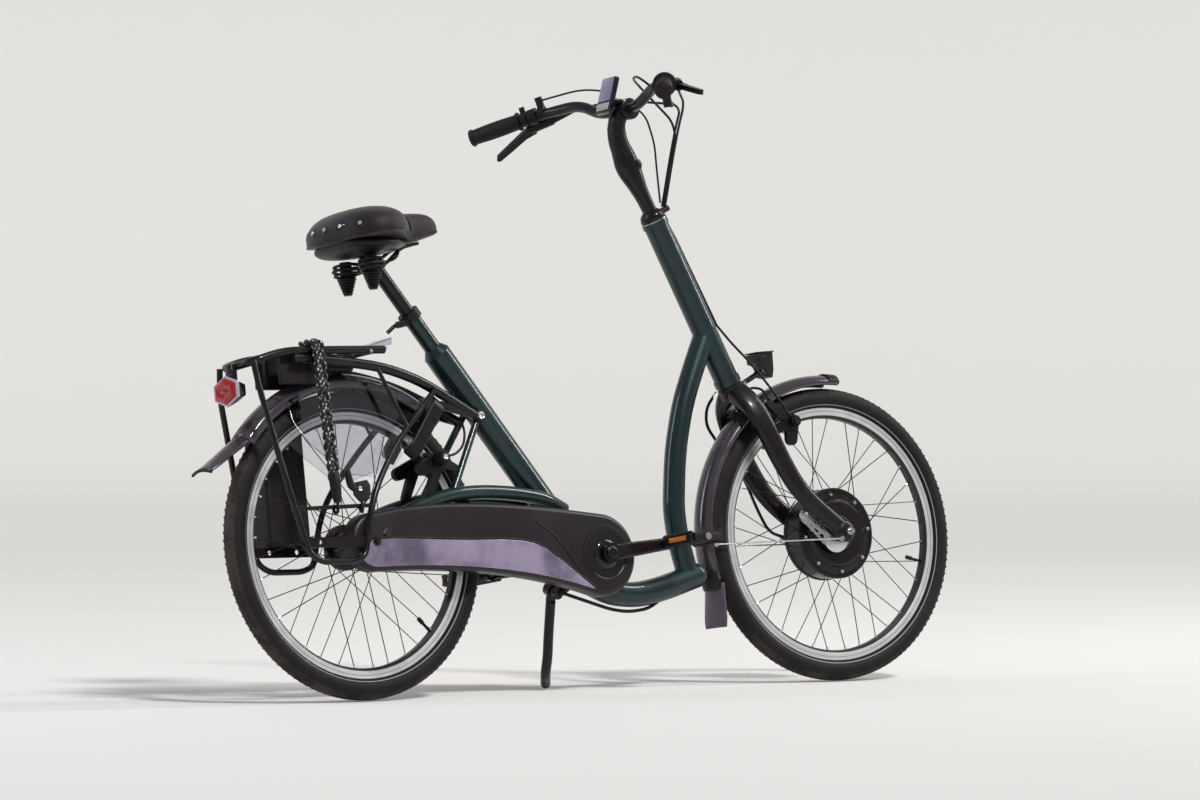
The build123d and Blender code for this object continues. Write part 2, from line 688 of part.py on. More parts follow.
# Columns: share of the blade's length, its depth from back to front
blade_depths = [(0, 52), (0.27, 51), (0.53, 50), (0.8, 46), (1, 43)]
blade_sections = [
    Plane(origin=blade_line @ share, x_dir=(0, 1, 0), z_dir=blade_line % share) * RectangleRounded(blade_thickness, depth, 7)
    for share, depth in blade_depths
]
blade_tip = cross_rod(blade_ends[1].X, blade_ends[1].Z, -blade_inner, -blade_outer, 21.5)
blade = loft(blade_sections) + fillet(blade_tip.edges().filter_by(GeomType.CIRCLE), 6)
blade -= cross_rod(front_axle.X, front_axle.Z, -100, 0, axle_radius)


def flat(point):
    """A point as X and Z alone."""
    return (point.X, point.Z)


nodes["fork_blades"] = both_sides(main_solid(blade - crown))


# Rim brakes: a pad, a cylinder and a forged body on each side of the wheel
def rim_brake(wheel, angle, lobes, body_y):
    """One side of a rim brake; lobes lists each round of its body as x, z and radius from the cylinder."""
    track = rim_radius - brake_track / 2
    x, z = round_point(wheel, track, angle)
    pad_face = rim_width / 2 + 2
    pad = Box(50, 9, 10)
    pad = fillet(pad.edges().filter_by(Axis.Y), 4)
    shape = Pos(x, -pad_face - 4.5, z) * Rot(0, 90 - angle, 0) * pad
    shape += cross_rod(x, z, -body_y - 14, -pad_face - 8, 11)
    rounds = [(x + dx, z + dz, radius) for dx, dz, radius in lobes]
    shape += hull_plate([(x, z, 16), rounds[0]], -body_y + 10, -body_y)
    for lobe in rounds[1:]:
        shape += hull_plate([(x, z, 12), lobe], -body_y + 10, -body_y)
    shape += cross_rod(x, z, -body_y - 18, -body_y, 7)
    return shape


front_brake = rim_brake(front_axle, 114.5, [(-4, -36, 13), (-44, -18, 9), (-52, 36, 8)], blade_inner)
nodes["front_brake"] = both_sides(main_solid(front_brake - blade))
rear_brake = rim_brake(rear_axle, 39, [(-44, -16, 13), (38, -16, 8), (-30, -64, 9)], 44)
nodes["rear_brake"] = both_sides(main_solid(rear_brake - stay - strut))

# Ring lock: a horseshoe over the tyre and the guard, hung from the seat tube
lock_angle = 53.0
lock_low = rim_radius - 50
lock_high = rear_guard_radius + 16
lock_half = 51.0
lock_slot = guard_width / 2 + 6
lock_sketch = Pos(0, (lock_low + lock_high) / 2) * RectangleRounded(2 * lock_half, lock_high - lock_low, 24)
lock_sketch -= Pos(0, lock_low / 2 + rear_guard_radius / 2 + 0.5) * Rectangle(
    2 * lock_slot, rear_guard_radius - lock_low + 1,
)
lock = fillet(extrude(Plane.YZ * lock_sketch, 15, both=True).edges().filter_by(GeomType.CIRCLE), 4)
lock = Rot(0, 90 - lock_angle, 0) * lock
lock_x, lock_z = round_point(rear_axle, lock_high - 8, lock_angle)
seat_bolt = on_seat(376, -seat_tube_radius, -20)
lock_arm = hull_plate([(lock_x + 8, lock_z - 6, 8), (seat_bolt.X, seat_bolt.Z, 8)], -36, -41)
lock_arm += cross_rod(seat_bolt.X, seat_bolt.Z, -44, -16, 5)
lock_arm = lock_arm + mirrored(lock_arm)
ring_lock = lock + lock_arm + cross_rod(lock_x + 8, lock_z - 6, -lock_half + 8, lock_half - 8, 6)
ring_lock = ring_lock - seat_lower - strut - mirrored(strut) - side_tube - mirrored(side_tube) - leg - mirrored(leg)
nodes["ring_lock"] = main_solid(ring_lock - nodes["rear_mudguard"])

guard_low = 214
guard_outline = make_face([
    ThreePointArc((-150, 284), (0, 321), (112, 289)),
    Line((112, 289), (80, guard_low)),
    ThreePointArc((80, guard_low), (0, 244), (-110, guard_low - 15)),
    Line((-110, guard_low - 15), (-150, 284)),
])
nodes["coat_guards"] = both_sides(side_plate(guard_outline, -guard_width / 2 - 0.3, -guard_width / 2 - 2.8))

# The rear lamp has six sides and hangs under the rack's tail
lamp_back = -272
lamp_centre = rack_top - 69


def lamp_face(shrink):
    """The lamp's outline, made smaller all round; columns: half width, height."""
    half = [(38 - shrink, 27 - shrink), (53 - shrink, 0), (38 - shrink, -27 + shrink)]
    return Pos(0, lamp_centre) * mirrored_outline(half)


lamp = loft([Plane.YZ.offset(lamp_back + 8) * lamp_face(0), Plane.YZ.offset(lamp_back + 36) * lamp_face(9)])
lamp += extrude(Plane.YZ.offset(lamp_back + 3) * lamp_face(0), 5)
lamp += extrude(Plane.YZ.offset(lamp_back) * lamp_face(5), 3)
lamp += block(lamp_back + 14, lamp_back + 32, -16, 16, lamp_centre + 20, rack_top - 20)
nodes["rear_light"] = lamp - bent_tube(rail_path, rail_radius + 0.3)

# Stem: a headset collar with a nose for the hoses, a hinged riser and the bar's clamp
bar_clamp = head_top + Vector(-bar_back, 0, bar_rise)
collar = rod(on_axis(head_high + 1), on_axis(head_high + 17), head_tube_radius + 1)
nose_tip = on_axis(head_high + 9, 44)
collar += rod(on_axis(head_high + 9), nose_tip, 7)
# Columns: x and z from the head tube's top, down the front of the riser and up its back
stem_front = [(-36, 214), (-52, 186), (-49, 166), (-25, 124), (-17, 66), (2, 24)]
stem_back = [(-28, 10), (-53, 62), (-88, 118), (-98, 172), (-96, 216), (-62, 228)]
stem_outline = make_face(Polyline(*[flat(head_top + Vector(x, 0, z)) for x, z in stem_front + stem_back], close=True))
stem_outline = fillet(stem_outline.vertices(), 9)
stem_body = side_plate(stem_outline, 17, -17)
stem = stem_body + collar + rod(on_axis(head_high + 6), on_axis(head_high + 34), 14)
hinge = head_top + Vector(-46, 0, 112)
stem += cross_rod(hinge.X, hinge.Z, -22, 22, 16)
stem += cross_rod(bar_clamp.X, bar_clamp.Z, -27, 27, 23)
grip_inner = bar_clamp + Vector(-79, 263, 13)
grip_dir = Vector(-0.5777, 0.786, -0.2178)
grip_outer = grip_inner + grip_dir * grip_length
# Columns: x, y and z from the clamp, out to the inner end of the left grip
bar_bends = [(0, 26, 0), (-11, 70, 2), (-15, 138, 30), (-43, 213, 23)]
bar_left = [bar_clamp + Vector(*bend) for bend in bar_bends] + [grip_inner, grip_outer]
bar_right = [Vector(p.X, -p.Y, p.Z) for p in bar_left]
bar = bent_tube([*reversed(bar_right), *bar_left], bar_radius)
nodes["handlebar"] = bar

# The stem's angle is set by a long lever let into its back
lever_depth = 15
lever_line = [(-99.5, 196), (-99.5, 172), (-88.5, 118), (-73, 124), (-79, 170), (-82, 196)]
lever_face = make_face(Polyline(*[flat(head_top + Vector(x, 0, z)) for x, z in lever_line], close=True))
stem_lever = fillet(side_plate(lever_face, lever_depth, -lever_depth).edges().filter_by(Axis.Y), 2)
nodes["stem_lever"] = stem_lever
lever_cut = side_plate(lever_face, lever_depth + 0.3, -lever_depth - 0.3)
nodes["stem"] = main_solid(stem - bar - steerer - lever_cut)

grip = rod(grip_inner, grip_outer + grip_dir * 3, grip_radius)
grip += rod(grip_inner, grip_inner + grip_dir * 4, grip_radius + 3)
grip += rod(grip_outer, grip_outer + grip_dir * 6, grip_radius + 2)
nodes["grips"] = both_sides(mirrored(main_solid(grip - bar)))


def on_grip(along, ahead=0.0, up=0.0, droop=0.0):
    """A point by the left grip: outwards along it, ahead of it and above, both turned down by the droop."""
    level = Vector(-grip_dir.Y, grip_dir.X, 0).normalized() * -1
    top = level.cross(grip_dir).normalized()
    if top.Z < 0:
        top = top * -1
    a = radians(droop)
    reach = level * cos(a) - top * sin(a)
    lift = level * sin(a) + top * cos(a)
    return grip_inner + grip_dir * along + reach * ahead + lift * up


def brake_lever(droop):
    """The left brake lever: a clamp, a tapering cylinder and a curved blade."""
    origin = on_grip(0, 0, 0, droop)
    ahead = on_grip(0, 1, 0, droop) - origin
    up = on_grip(0, 0, 1, droop) - origin
    plane = Plane(origin=origin - up * 5, x_dir=grip_dir, z_dir=up)
    # Columns: outwards along the grip, ahead of it
    blade_line = [(-24, 24), (-6, 22), (16, 33), (50, 50), (86, 68), (90, 77), (82, 79), (44, 63), (8, 47), (-20, 41)]
    if plane.y_dir.dot(ahead) < 0:
        blade_line = [(x, -y) for x, y in blade_line]
    outline = fillet(make_face(Polyline(*blade_line, close=True)).vertices(), 3)
    lever = extrude(plane * outline, 10)
    lever += rod(on_grip(-40, 0, 0, droop), on_grip(-22, 0, 0, droop), bar_radius + 5.5)
    lever += rod(on_grip(-31, 8, 0, droop), on_grip(-31, 30, 0, droop), 8)
    lever += rod(on_grip(-10, 28, 0, droop), on_grip(-62, 24, 0, droop), 11)
    cone_from = on_grip(-62, 24, 0, droop)
    cone_to = on_grip(-118, 20, 0, droop)
    cone_plane = Plane(origin=cone_from, z_dir=cone_to - cone_from)
    lever += loft([cone_plane * Circle(9), cone_plane.offset((cone_to - cone_from).length) * Circle(4)])
    return main_solid(lever - bar)


left_droop = 40.0
right_droop = 9.0
levers = [brake_lever(left_droop), mirrored(brake_lever(right_droop))]
nodes["brake_levers"] = Compound(children=levers)

# A twist shifter with its housing on the right, a control pad and a bell knob on the left
twist_shifter = rod(on_grip(-21), on_grip(-0.5), 24)
twist_shifter += rod(on_grip(-19, 0, -8), on_grip(-19, 4, -46), 9)
twist_shifter += rod(on_grip(-19, 4, -40), on_grip(-40, 10, -44), 6)
control_pad = rod(on_grip(-60), on_grip(-46), bar_radius + 3.5)
control_pad += rod(on_grip(-53, 0, 8), on_grip(-53, -6, 34), 8)
bell_knob = rod(on_grip(-18), on_grip(-6), bar_radius + 4) + rod(on_grip(-12, 0, 10), on_grip(-12, -4, 26), 6)
nodes["shifters"] = Compound(children=[
    main_solid(mirrored(twist_shifter - bar) - levers[1]), main_solid(control_pad - bar - levers[0]),
    main_solid(bell_knob - bar - levers[0]),
])

display_at = bar_clamp + Vector(-37, 0, 29)
display_turn = Pos(*display_at) * Rot(0, 18.5, 0)
display = display_turn * fillet(Box(13, 50, 78).edges(), 4)
display -= display_turn * Pos(-6.5, 0, 6) * Box(1.6, 40, 56)
display += rod(display_at + Vector(4, 0, -8), bar_clamp + Vector(-8, 0, 14), 8)
nodes["display"] = main_solid(display - stem - bar)

# Headlight over the front guard, on a bracket from the crown; columns: x and z from the front axle
light_line = [(-178, 377), (-106, 381), (-106, 350), (-150, 348), (-178, 362)]
light_outline = make_face(Polyline(*[flat(front_axle + Vector(x, 0, z)) for x, z in light_line], close=True))
headlight = fillet(side_plate(light_outline, 27, -27).edges(), 4)
light_foot = front_axle + Vector(-135, 0, 336)
headlight += block(light_foot.X - 21, light_foot.X + 21, -13, 13, light_foot.Z - 12, light_foot.Z + 13, 3)
headlight += rod(light_foot, on_axis(crown_low + 15, 8), 5)
nodes["headlight"] = main_solid(headlight - crown)

# Hoses and cables, on paths of straight runs and wide arcs
port = on_axis(head_high + 9, 33)
port_top = port + Vector(0, 0, 7.6)


def to_port(side):
    """The bundle's way down in front of the stem to the collar's nose, moved sideways."""
    return [
        head_top + Vector(92, side, 240), head_top + Vector(74, side, 194), head_top + Vector(52, side, 122),
        head_top + Vector(32, side, 50), port_top + Vector(0, side, 0),
    ]


def right_of(point):
    """The same point on the right side."""
    return Vector(point.X, -point.Y, point.Z)


right_hose = [right_of(on_grip(-118, 20, 0, right_droop)), bar_clamp + Vector(46, -112, 58), *to_port(-5.5)]
left_hose = [on_grip(-118, 20, 0, left_droop), bar_clamp + Vector(48, 92, 34), *to_port(5.5)]
gear_cable = [
    right_of(on_grip(-41, 10, -44)), bar_clamp + Vector(-62, -150, 48), bar_clamp + Vector(-16, -62, 56),
    bar_clamp + Vector(34, -14, 46), *to_port(0)[1:],
]
thin_cable = [
    display_at + Vector(10, 6, -14), bar_clamp + Vector(58, 12, 4), bar_clamp + Vector(78, 11, -66),
    port_top + Vector(-3, 11, 84), port_top + Vector(-3, 6.5, 8),
]
pad_cable = [on_grip(-53, -4, 26), bar_clamp + Vector(-18, 120, 60), bar_clamp + Vector(-6, 40, 44), display_at + Vector(9, 14, 8)]
cables = [
    bent_tube(right_hose, hose_radius), bent_tube(left_hose, hose_radius), bent_tube(gear_cable, hose_radius),
    bent_tube(thin_cable, 2), bent_tube(pad_cable, 2),
]
held = nodes["display"] + stem + bar
nodes["bar_cables"] = Compound(children=[main_solid(cable - held - nodes["shifters"] - levers[0] - levers[1]) for cable in cables])

hose_side = head_tube_radius + 8.5
brake_hose = [
    on_axis(head_high + 2, hose_side - 4, 11), on_axis(head_high - 40, hose_side, 6), on_axis(head_low + 120, hose_side, 0),
    front_axle + Vector(-247, -4, 436), front_axle + Vector(-223, -18, 397), front_axle + Vector(-186, -35, 350),
    front_axle + Vector(-146, -42, 297), front_axle + Vector(-119, -48, 255), front_axle + Vector(-108, -52, 236),
]
cross_hose = [
    front_axle + Vector(-158, -45, 276), front_axle + Vector(-156, -24, 300), front_axle + Vector(-169, 0, 306),
    front_axle + Vector(-156, 24, 300), front_axle + Vector(-158, 45, 276),
]
motor_cable = [
    front_axle + Vector(-232, 32, 300), front_axle + Vector(-252, 42, 272), front_axle + Vector(-242, 64, 236),
    front_axle + Vector(-198, 77, 188), front_axle + Vector(-148, 76, 130), front_axle + Vector(-118, 77, 58),
    front_axle + Vector(-92, 78, 13), front_axle + Vector(-50, 84, 2),
]
motor_plug = rod(motor_cable[-1] + Vector(-4, 0, 0), front_axle + Vector(-axle_radius - 0.3, 84, 1), 5)
fork_hoses = [main_solid(bent_tube(path, hose_radius) - nodes["front_brake"] - crown) for path in (brake_hose, cross_hose)]
fork_hoses.append(main_solid(bent_tube(motor_cable, 3.2) + motor_plug - crown - nodes["front_axle"]))
nodes["fork_cables"] = Compound(children=fork_hoses)

under_loop = [
    lower_path[2] + Vector(-110, 0, 0), bracket + Vector(61, 0, -104), bracket + Vector(106, 0, -110),
    bracket + Vector(156, 0, -105), bracket + Vector(190, 0, -88),
]
rear_hose = [
    on_seat(400, -26, -8), (276, -16, 246), (281, -22, 220), (266, -34, 190), (236, -45, 171), (206, -50, 166),
]
nodes["frame_cables"] = Compound(children=[
    main_solid(bent_tube(under_loop, 3.5) - lower_tube - bracket_shell),
    main_solid(bent_tube(rear_hose, hose_radius) - seat_lower - nodes["rear_brake"]),
])

steered = [
    "front_tyre", "front_rim", "front_spokes", "hub_motor", "front_axle", "front_mudguard", "mudguard_stays",
    "fork_crown", "fork_blades", "front_brake", "stem", "stem_lever", "handlebar", "grips", "brake_levers",
    "shifters", "display", "headlight", "bar_cables", "fork_cables",
]


# The bicycle's steering is turned a little, and then it leans and stands on its tyres
def lowest(centre, axle):
    """The height of a tyre's lowest point, from its centre and its axle's direction."""
    return centre.Z - (tyre_radius - tyre_section) * sqrt(1 - axle.Z ** 2) - tyre_section


def leaned(vector):
    """A point or direction after the lean."""
    return vector.rotate(Axis.X, -lean_angle)


turned_centre = axis_foot + (front_axle - axis_foot).rotate(Axis((0, 0, 0), axis_dir), steer_angle)
turned_axle = Vector(0, 1, 0).rotate(Axis((0, 0, 0), axis_dir), steer_angle)
rear_low = lowest(leaned(rear_axle), leaned(Vector(0, 1, 0)))
front_low = lowest(leaned(turned_centre), leaned(turned_axle))
pitch = degrees(atan2(front_low - rear_low, wheelbase))


def from_floor(x, y, z):
    """A point measured from the floor under the leaning wheels, as it lies in the upright bicycle."""
    out = y - tyre_radius * sin(radians(lean_angle))
    return Vector(x, out, rear_low + z).rotate(Axis.X, lean_angle)


# Side stand. Its foot rests on the floor, and its leg passes inside the turning crank and pedal.
stand_pivot = bracket + Vector(-57, 36, -57)
foot = from_floor(stand_foot_x, stand_foot_y, stand_radius)
stowed = Vector(-188, 18, -8)
stand_axis = (foot - stand_pivot).cross(stowed).normalized()
stand_path = [
    stand_pivot, stand_pivot + Vector(-2, 22, -97), stand_pivot + Vector(-2, 29, -131),
    stand_pivot + Vector(4, 48, -161), foot,
]
stand = bent_tube(stand_path, stand_radius) + Pos(*foot) * Sphere(stand_radius)
stand += rod(stand_pivot - stand_axis * 9, stand_pivot + stand_axis * 9, 15)
stand -= rod(stand_pivot - stand_axis * 30, stand_pivot + stand_axis * 30, 5)
nodes["side_stand"] = main_solid(stand - rod(stand_pivot - stand_axis * 40, stand_pivot - stand_axis * 9, 24))
mount = rod(stand_pivot - stand_axis * 14, stand_pivot + stand_axis * 14, 4.9)
mount += rod(stand_pivot - stand_axis * 28, stand_pivot - stand_axis * 12, 11)
mount += rod(stand_pivot - stand_axis * 24, bracket + Vector(-19, 0, -39), 10)
nodes["stand_bracket"] = main_solid(mount - lower_tube - seat_lower - bracket_shell)

# Into the final place: turned, leaned, and with the whole box's bottom centre at the origin
standing = Rot(0, pitch, 0) * Rot(-lean_angle, 0, 0)
turned = Pos(*axis_foot) * Location((0, 0, 0), tuple(axis_dir), steer_angle) * Pos(*(axis_foot * -1))
for name in nodes:
    if name in steered:
        nodes[name] = turned * nodes[name]
    nodes[name] = standing * nodes[name]

box = Compound(children=list(nodes.values())).bounding_box()
shift = Vector(-(box.min.X + box.max.X) / 2, -(box.min.Y + box.max.Y) / 2, -box.min.Z)
for name, shape in nodes.items():
    solids = (Pos(*shift) * shape).solids()
    export_step(solids[0] if len(solids) == 1 else Compound(children=solids), f"parts/{name}.step")

# Joint positions and axes, for the record
placing = Pos(*shift) * standing


def placed(point):
    """A point of the upright bicycle in its final place."""
    return (placing * Pos(*point)).position


def report(name, point, direction):
    """Prints a joint's place and axis."""
    a = placed(point)
    b = placed(Vector(*point) + Vector(*direction).normalized() * 100)
    d = (b - a).normalized()
    print("JOINT", name, *[round(v, 3) for v in a], *[round(v, 6) for v in d])


report("steering", axis_foot, axis_dir)
report("rear_wheel_spin", rear_axle, (0, 1, 0))
report("front_wheel_spin", turned_centre, turned_axle)
report("crank_spin", bracket, (0, 1, 0))
report("right_pedal_spin", bracket + arm_dir * crank_length + Vector(0, -pedal_y, 0), (0, 1, 0))
report("left_pedal_spin", bracket - arm_dir * crank_length + Vector(0, pedal_y, 0), (0, 1, 0))
report("stand_swing", stand_pivot, stand_axis)
print("BOX", box.min, box.max, "pitch", pitch, "shift", shift)
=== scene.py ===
import json
import math

import bmesh
import bpy
from mathutils import Euler, Matrix, Vector


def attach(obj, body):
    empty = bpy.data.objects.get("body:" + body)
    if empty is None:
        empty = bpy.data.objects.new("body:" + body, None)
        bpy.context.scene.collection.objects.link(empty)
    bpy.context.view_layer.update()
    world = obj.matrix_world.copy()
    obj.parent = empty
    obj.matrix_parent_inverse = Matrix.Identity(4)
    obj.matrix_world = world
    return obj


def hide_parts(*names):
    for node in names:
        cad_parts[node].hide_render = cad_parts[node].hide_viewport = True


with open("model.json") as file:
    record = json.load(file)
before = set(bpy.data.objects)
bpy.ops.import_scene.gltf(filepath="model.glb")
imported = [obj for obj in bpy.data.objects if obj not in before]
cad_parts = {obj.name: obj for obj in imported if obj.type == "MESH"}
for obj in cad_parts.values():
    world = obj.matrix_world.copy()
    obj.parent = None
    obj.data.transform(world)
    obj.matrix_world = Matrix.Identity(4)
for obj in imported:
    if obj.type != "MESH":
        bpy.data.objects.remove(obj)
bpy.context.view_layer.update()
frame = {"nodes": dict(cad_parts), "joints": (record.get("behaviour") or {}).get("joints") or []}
print("frame loaded")

# The bicycle is drawn upright in millimetres: X ahead, Y left, Z up, the rear axle at the origin.
# Each body's frame then leans it and turns its steering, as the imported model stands.
joints = {j["name"]: j for j in frame["joints"]}
rearAxle = Vector(joints["rear_wheel_spin"]["pos_m"])
acrossAxis = Vector(joints["rear_wheel_spin"]["axis"]).normalized()
aheadAxis = Vector((1, 0, -acrossAxis.x / acrossAxis.z)).normalized()
upAxis = aheadAxis.cross(acrossAxis)
partAxes = Matrix((aheadAxis, acrossAxis, upAxis)).transposed().to_4x4()
upright = Matrix.Translation(rearAxle) @ partAxes @ Matrix.Scale(0.001, 4)
steerDegrees = -5.2
steerAt = Vector(joints["steering"]["pos_m"])
steerTurn = Matrix.Rotation(math.radians(steerDegrees), 4, Vector(joints["steering"]["axis"]))
steered = Matrix.Translation(steerAt) @ steerTurn @ Matrix.Translation(-steerAt) @ upright
turnedBodies = ("steering", "front_wheel")

wheelbase = 1210.0
frontAxle = Vector((wheelbase, 0, 0))
bracket = Vector((564, 0, -36))
headTop = Vector((830.5, 0, 649))
barClamp = headTop + Vector((-55.5, 0, 226))
rearHub = Vector((0, 0, 0))
headAngle = math.radians(65.1)
forkOffset = 71.0
axisDir = Vector((-math.cos(headAngle), 0, math.sin(headAngle)))
axisFoot = frontAxle - forkOffset * Vector((math.sin(headAngle), 0, math.cos(headAngle)))


def bodyFrame(body):
    return steered if body in turnedBodies else upright


# Camera, at the photograph's place and angle
camera = {
    "focalPixels": 6330.0, "distance": 12.607, "azimuth": -38.868, "height": 0.6659, "yaw": 0.095,
    "pitch": -0.399, "wheelbase": 1.21006, "rearAxleThere": (0.0, 0.04397, 0.29777), "imageWidth": 1200,
    "sensor": 36.0,
}


def makeCamera(c):
    azimuth = math.radians(c["azimuth"])
    place = Vector((c["wheelbase"] / 2, 0, c["height"]))
    place += c["distance"] * Vector((math.sin(azimuth), -math.cos(azimuth), 0))
    ahead = Vector((-math.sin(azimuth), math.cos(azimuth), 0))
    right = Vector((math.cos(azimuth), math.sin(azimuth), 0))
    up = Vector((0, 0, 1))
    yaw = Matrix.Rotation(math.radians(c["yaw"]), 3, up)
    ahead, right = yaw @ ahead, yaw @ right
    pitch = Matrix.Rotation(math.radians(c["pitch"]), 3, right)
    ahead, up = pitch @ ahead, pitch @ up
    data = bpy.data.cameras.new("camera")
    data.sensor_width = c["sensor"]
    data.lens = c["focalPixels"] / c["imageWidth"] * c["sensor"]
    data.clip_start, data.clip_end = 0.1, 200
    made = bpy.data.objects.new("camera", data)
    bpy.context.scene.collection.objects.link(made)
    made.matrix_world = Matrix((right, up, -ahead)).transposed().to_4x4()
    made.location = place + rearAxle - Vector(c["rearAxleThere"])
    bpy.context.scene.camera = made


makeCamera(camera)
print("camera made")


# Shader nodes and groups that many finishes share
def setInputs(tree, node, values):
    # Each value is a constant or the socket that feeds the input
    for key, value in values.items():
        if isinstance(value, bpy.types.NodeSocket):
            tree.links.new(value, node.inputs[key])
        else:
            node.inputs[key].default_value = value


def addNode(tree, kind, values, **settings):
    node = tree.nodes.new("ShaderNode" + kind)
    for name, setting in settings.items():
        setattr(node, name, setting)
    setInputs(tree, node, values)
    return node.outputs


def mathNode(tree, operation, *values):
    return addNode(tree, "Math", dict(enumerate(values)), operation=operation)[0]


def rangeNode(tree, value, low, high, toLow=0.0, toHigh=1.0):
    values = {"Value": value, "From Min": low, "From Max": high, "To Min": toLow, "To Max": toHigh}
    return addNode(tree, "MapRange", values, interpolation_type="SMOOTHSTEP")["Result"]


def noiseNode(tree, vector, scale, detail=3.0, roughness=0.5):
    values = {"Vector": vector, "Scale": scale, "Detail": detail, "Roughness": roughness}
    return addNode(tree, "TexNoise", values)["Fac"]


def mixColour(tree, factor, *colours):
    a, b = ((*c[:3], 1) if isinstance(c, tuple) else c for c in colours)
    return addNode(tree, "Mix", {"Factor": factor, "A": a, "B": b}, data_type="RGBA")["Result"]


def bumpNode(tree, height, strength, distance, before=None):
    values = {"Height": height, "Strength": strength, "Distance": distance}
    if before is not None:
        values["Normal"] = before
    return addNode(tree, "Bump", values)["Normal"]


def newGroup(name, inputs, outputs):
    # All sockets but the vector are numbers
    group = bpy.data.node_groups.new(name, "ShaderNodeTree")
    group.interface.new_socket("Vector", in_out="INPUT", socket_type="NodeSocketVector")
    for label, value in inputs.items():
        socket = group.interface.new_socket(label, in_out="INPUT", socket_type="NodeSocketFloat")
        socket.default_value = value
    for label in outputs:
        group.interface.new_socket(label, in_out="OUTPUT", socket_type="NodeSocketFloat")
    return group, group.nodes.new("NodeGroupInput").outputs, group.nodes.new("NodeGroupOutput")


def makeSurfaceGroup():
    # Fine grain, wide patches, and dust that lies on what faces up
    scales = {"Grain Scale": 900.0, "Patch Scale": 9.0}
    tree, into, out = newGroup("surfaceLife", scales, ("Grain", "Patch", "Dust"))
    vector = into["Vector"]
    patch = noiseNode(tree, vector, into["Patch Scale"], 5.0, 0.62)
    normal = addNode(tree, "NewGeometry", {})["Normal"]
    facing = rangeNode(tree, addNode(tree, "SeparateXYZ", {0: normal})["Z"], 0.15, 0.95)
    specks = rangeNode(tree, noiseNode(tree, vector, 240.0, 6.0, 0.75), 0.42, 0.7)
    clouds = rangeNode(tree, noiseNode(tree, vector, 22.0, 4.0, 0.6), 0.35, 0.7)
    both = mathNode(tree, "MULTIPLY", specks, clouds)
    setInputs(tree, out, {
        "Grain": noiseNode(tree, vector, into["Grain Scale"], 2.0),
        "Patch": rangeNode(tree, patch, 0.35, 0.68),
        "Dust": mathNode(tree, "MULTIPLY", both, mathNode(tree, "MULTIPLY_ADD", facing, 0.8, 0.2)),
    })
    return tree


def makeScratchGroup():
    # Fine scratches in two directions
    tree, into, out = newGroup("fineScratches", {"Amount": 0.5}, ("Mask",))
    masks = []
    for turn, scale in ((0.3, (40, 1200, 900)), (1.1, (900, 60, 1400))):
        values = {"Vector": into["Vector"], "Rotation": (turn, turn, 0.4), "Scale": scale}
        lines = noiseNode(tree, addNode(tree, "Mapping", values)[0], 1.0, 1.0)
        masks.append(rangeNode(tree, lines, 0.66, 0.74))
    both = mathNode(tree, "MAXIMUM", *masks)
    setInputs(tree, out, {"Mask": mathNode(tree, "MULTIPLY", both, into["Amount"])})
    return tree


surfaceGroup = makeSurfaceGroup()
scratchGroup = makeScratchGroup()
dustColour = (0.30, 0.25, 0.20)


def startMaterial(name):
    material = bpy.data.materials.new(name)
    material.use_nodes = True
    tree = material.node_tree
    return material, tree, tree.nodes["Principled BSDF"], addNode(tree, "TexCoord", {})["Object"]


def surfaceNodes(tree, where, look):
    values = {"Vector": where, "Grain Scale": look["grainScale"], "Patch Scale": look["patchScale"]}
    return addNode(tree, "Group", values, node_tree=surfaceGroup)


# What a finish has where its own entry says nothing
plainLook = {
    "grainScale": 900.0, "patchScale": 9.0, "patchAmount": 0.6, "rough": 0.4, "spread": 0.08, "bump": 0.15,
    "bumpDepth": 0.0004, "dust": 0.15, "scratches": 0.0, "scratchColour": (0.4, 0.4, 0.42), "darkWithin": 0.0,
    "dark": (0.006, 0.004, 0.006), "metallic": 0.0, "coat": 0.0, "coatRough": 0.08, "ior": 1.5,
    "specular": 0.25, "clear": 0.0,
}
shaderSockets = {
    "Metallic": "metallic", "Coat Weight": "coat", "Coat Roughness": "coatRough", "IOR": "ior",
    "Specular IOR Level": "specular", "Transmission Weight": "clear",
}


def makeFinish(name, ownLook):
    look = {**plainLook, **ownLook}
    material, tree, shader, where = startMaterial(name)
    surface = surfaceNodes(tree, where, look)
    colour = look["colour"]
    second = look.get("second", tuple(min(1, c * 1.5 + 0.004) for c in colour))
    patch = mathNode(tree, "MULTIPLY", surface["Patch"], look["patchAmount"])
    painted = mixColour(tree, patch, colour, second)
    if look["scratches"]:
        values = {"Vector": where, "Amount": look["scratches"]}
        mask = addNode(tree, "Group", values, node_tree=scratchGroup)["Mask"]
        painted = mixColour(tree, mask, painted, look["scratchColour"])
    if look["darkWithin"]:
        # The paint turns black near the rear axle
        away = addNode(tree, "VectorMath", {0: where, 1: rearAxle}, operation="DISTANCE")["Value"]
        near = rangeNode(tree, away, look["darkWithin"] - 0.004, look["darkWithin"], 1.0, 0.0)
        painted = mixColour(tree, near, painted, look["dark"])
    dust = mathNode(tree, "MULTIPLY", surface["Dust"], look["dust"])
    smooth, rough = look["rough"] - look["spread"], look["rough"] + look["spread"]
    worn = rangeNode(tree, surface["Patch"], 0.0, 1.0, smooth, rough)
    setInputs(tree, shader, {
        "Base Color": mixColour(tree, dust, painted, dustColour),
        "Roughness": mathNode(tree, "MULTIPLY_ADD", dust, 0.5, worn),
        "Normal": bumpNode(tree, surface["Grain"], look["bump"], look["bumpDepth"]),
        **{label: look[key] for label, key in shaderSockets.items()},
    })
    return material


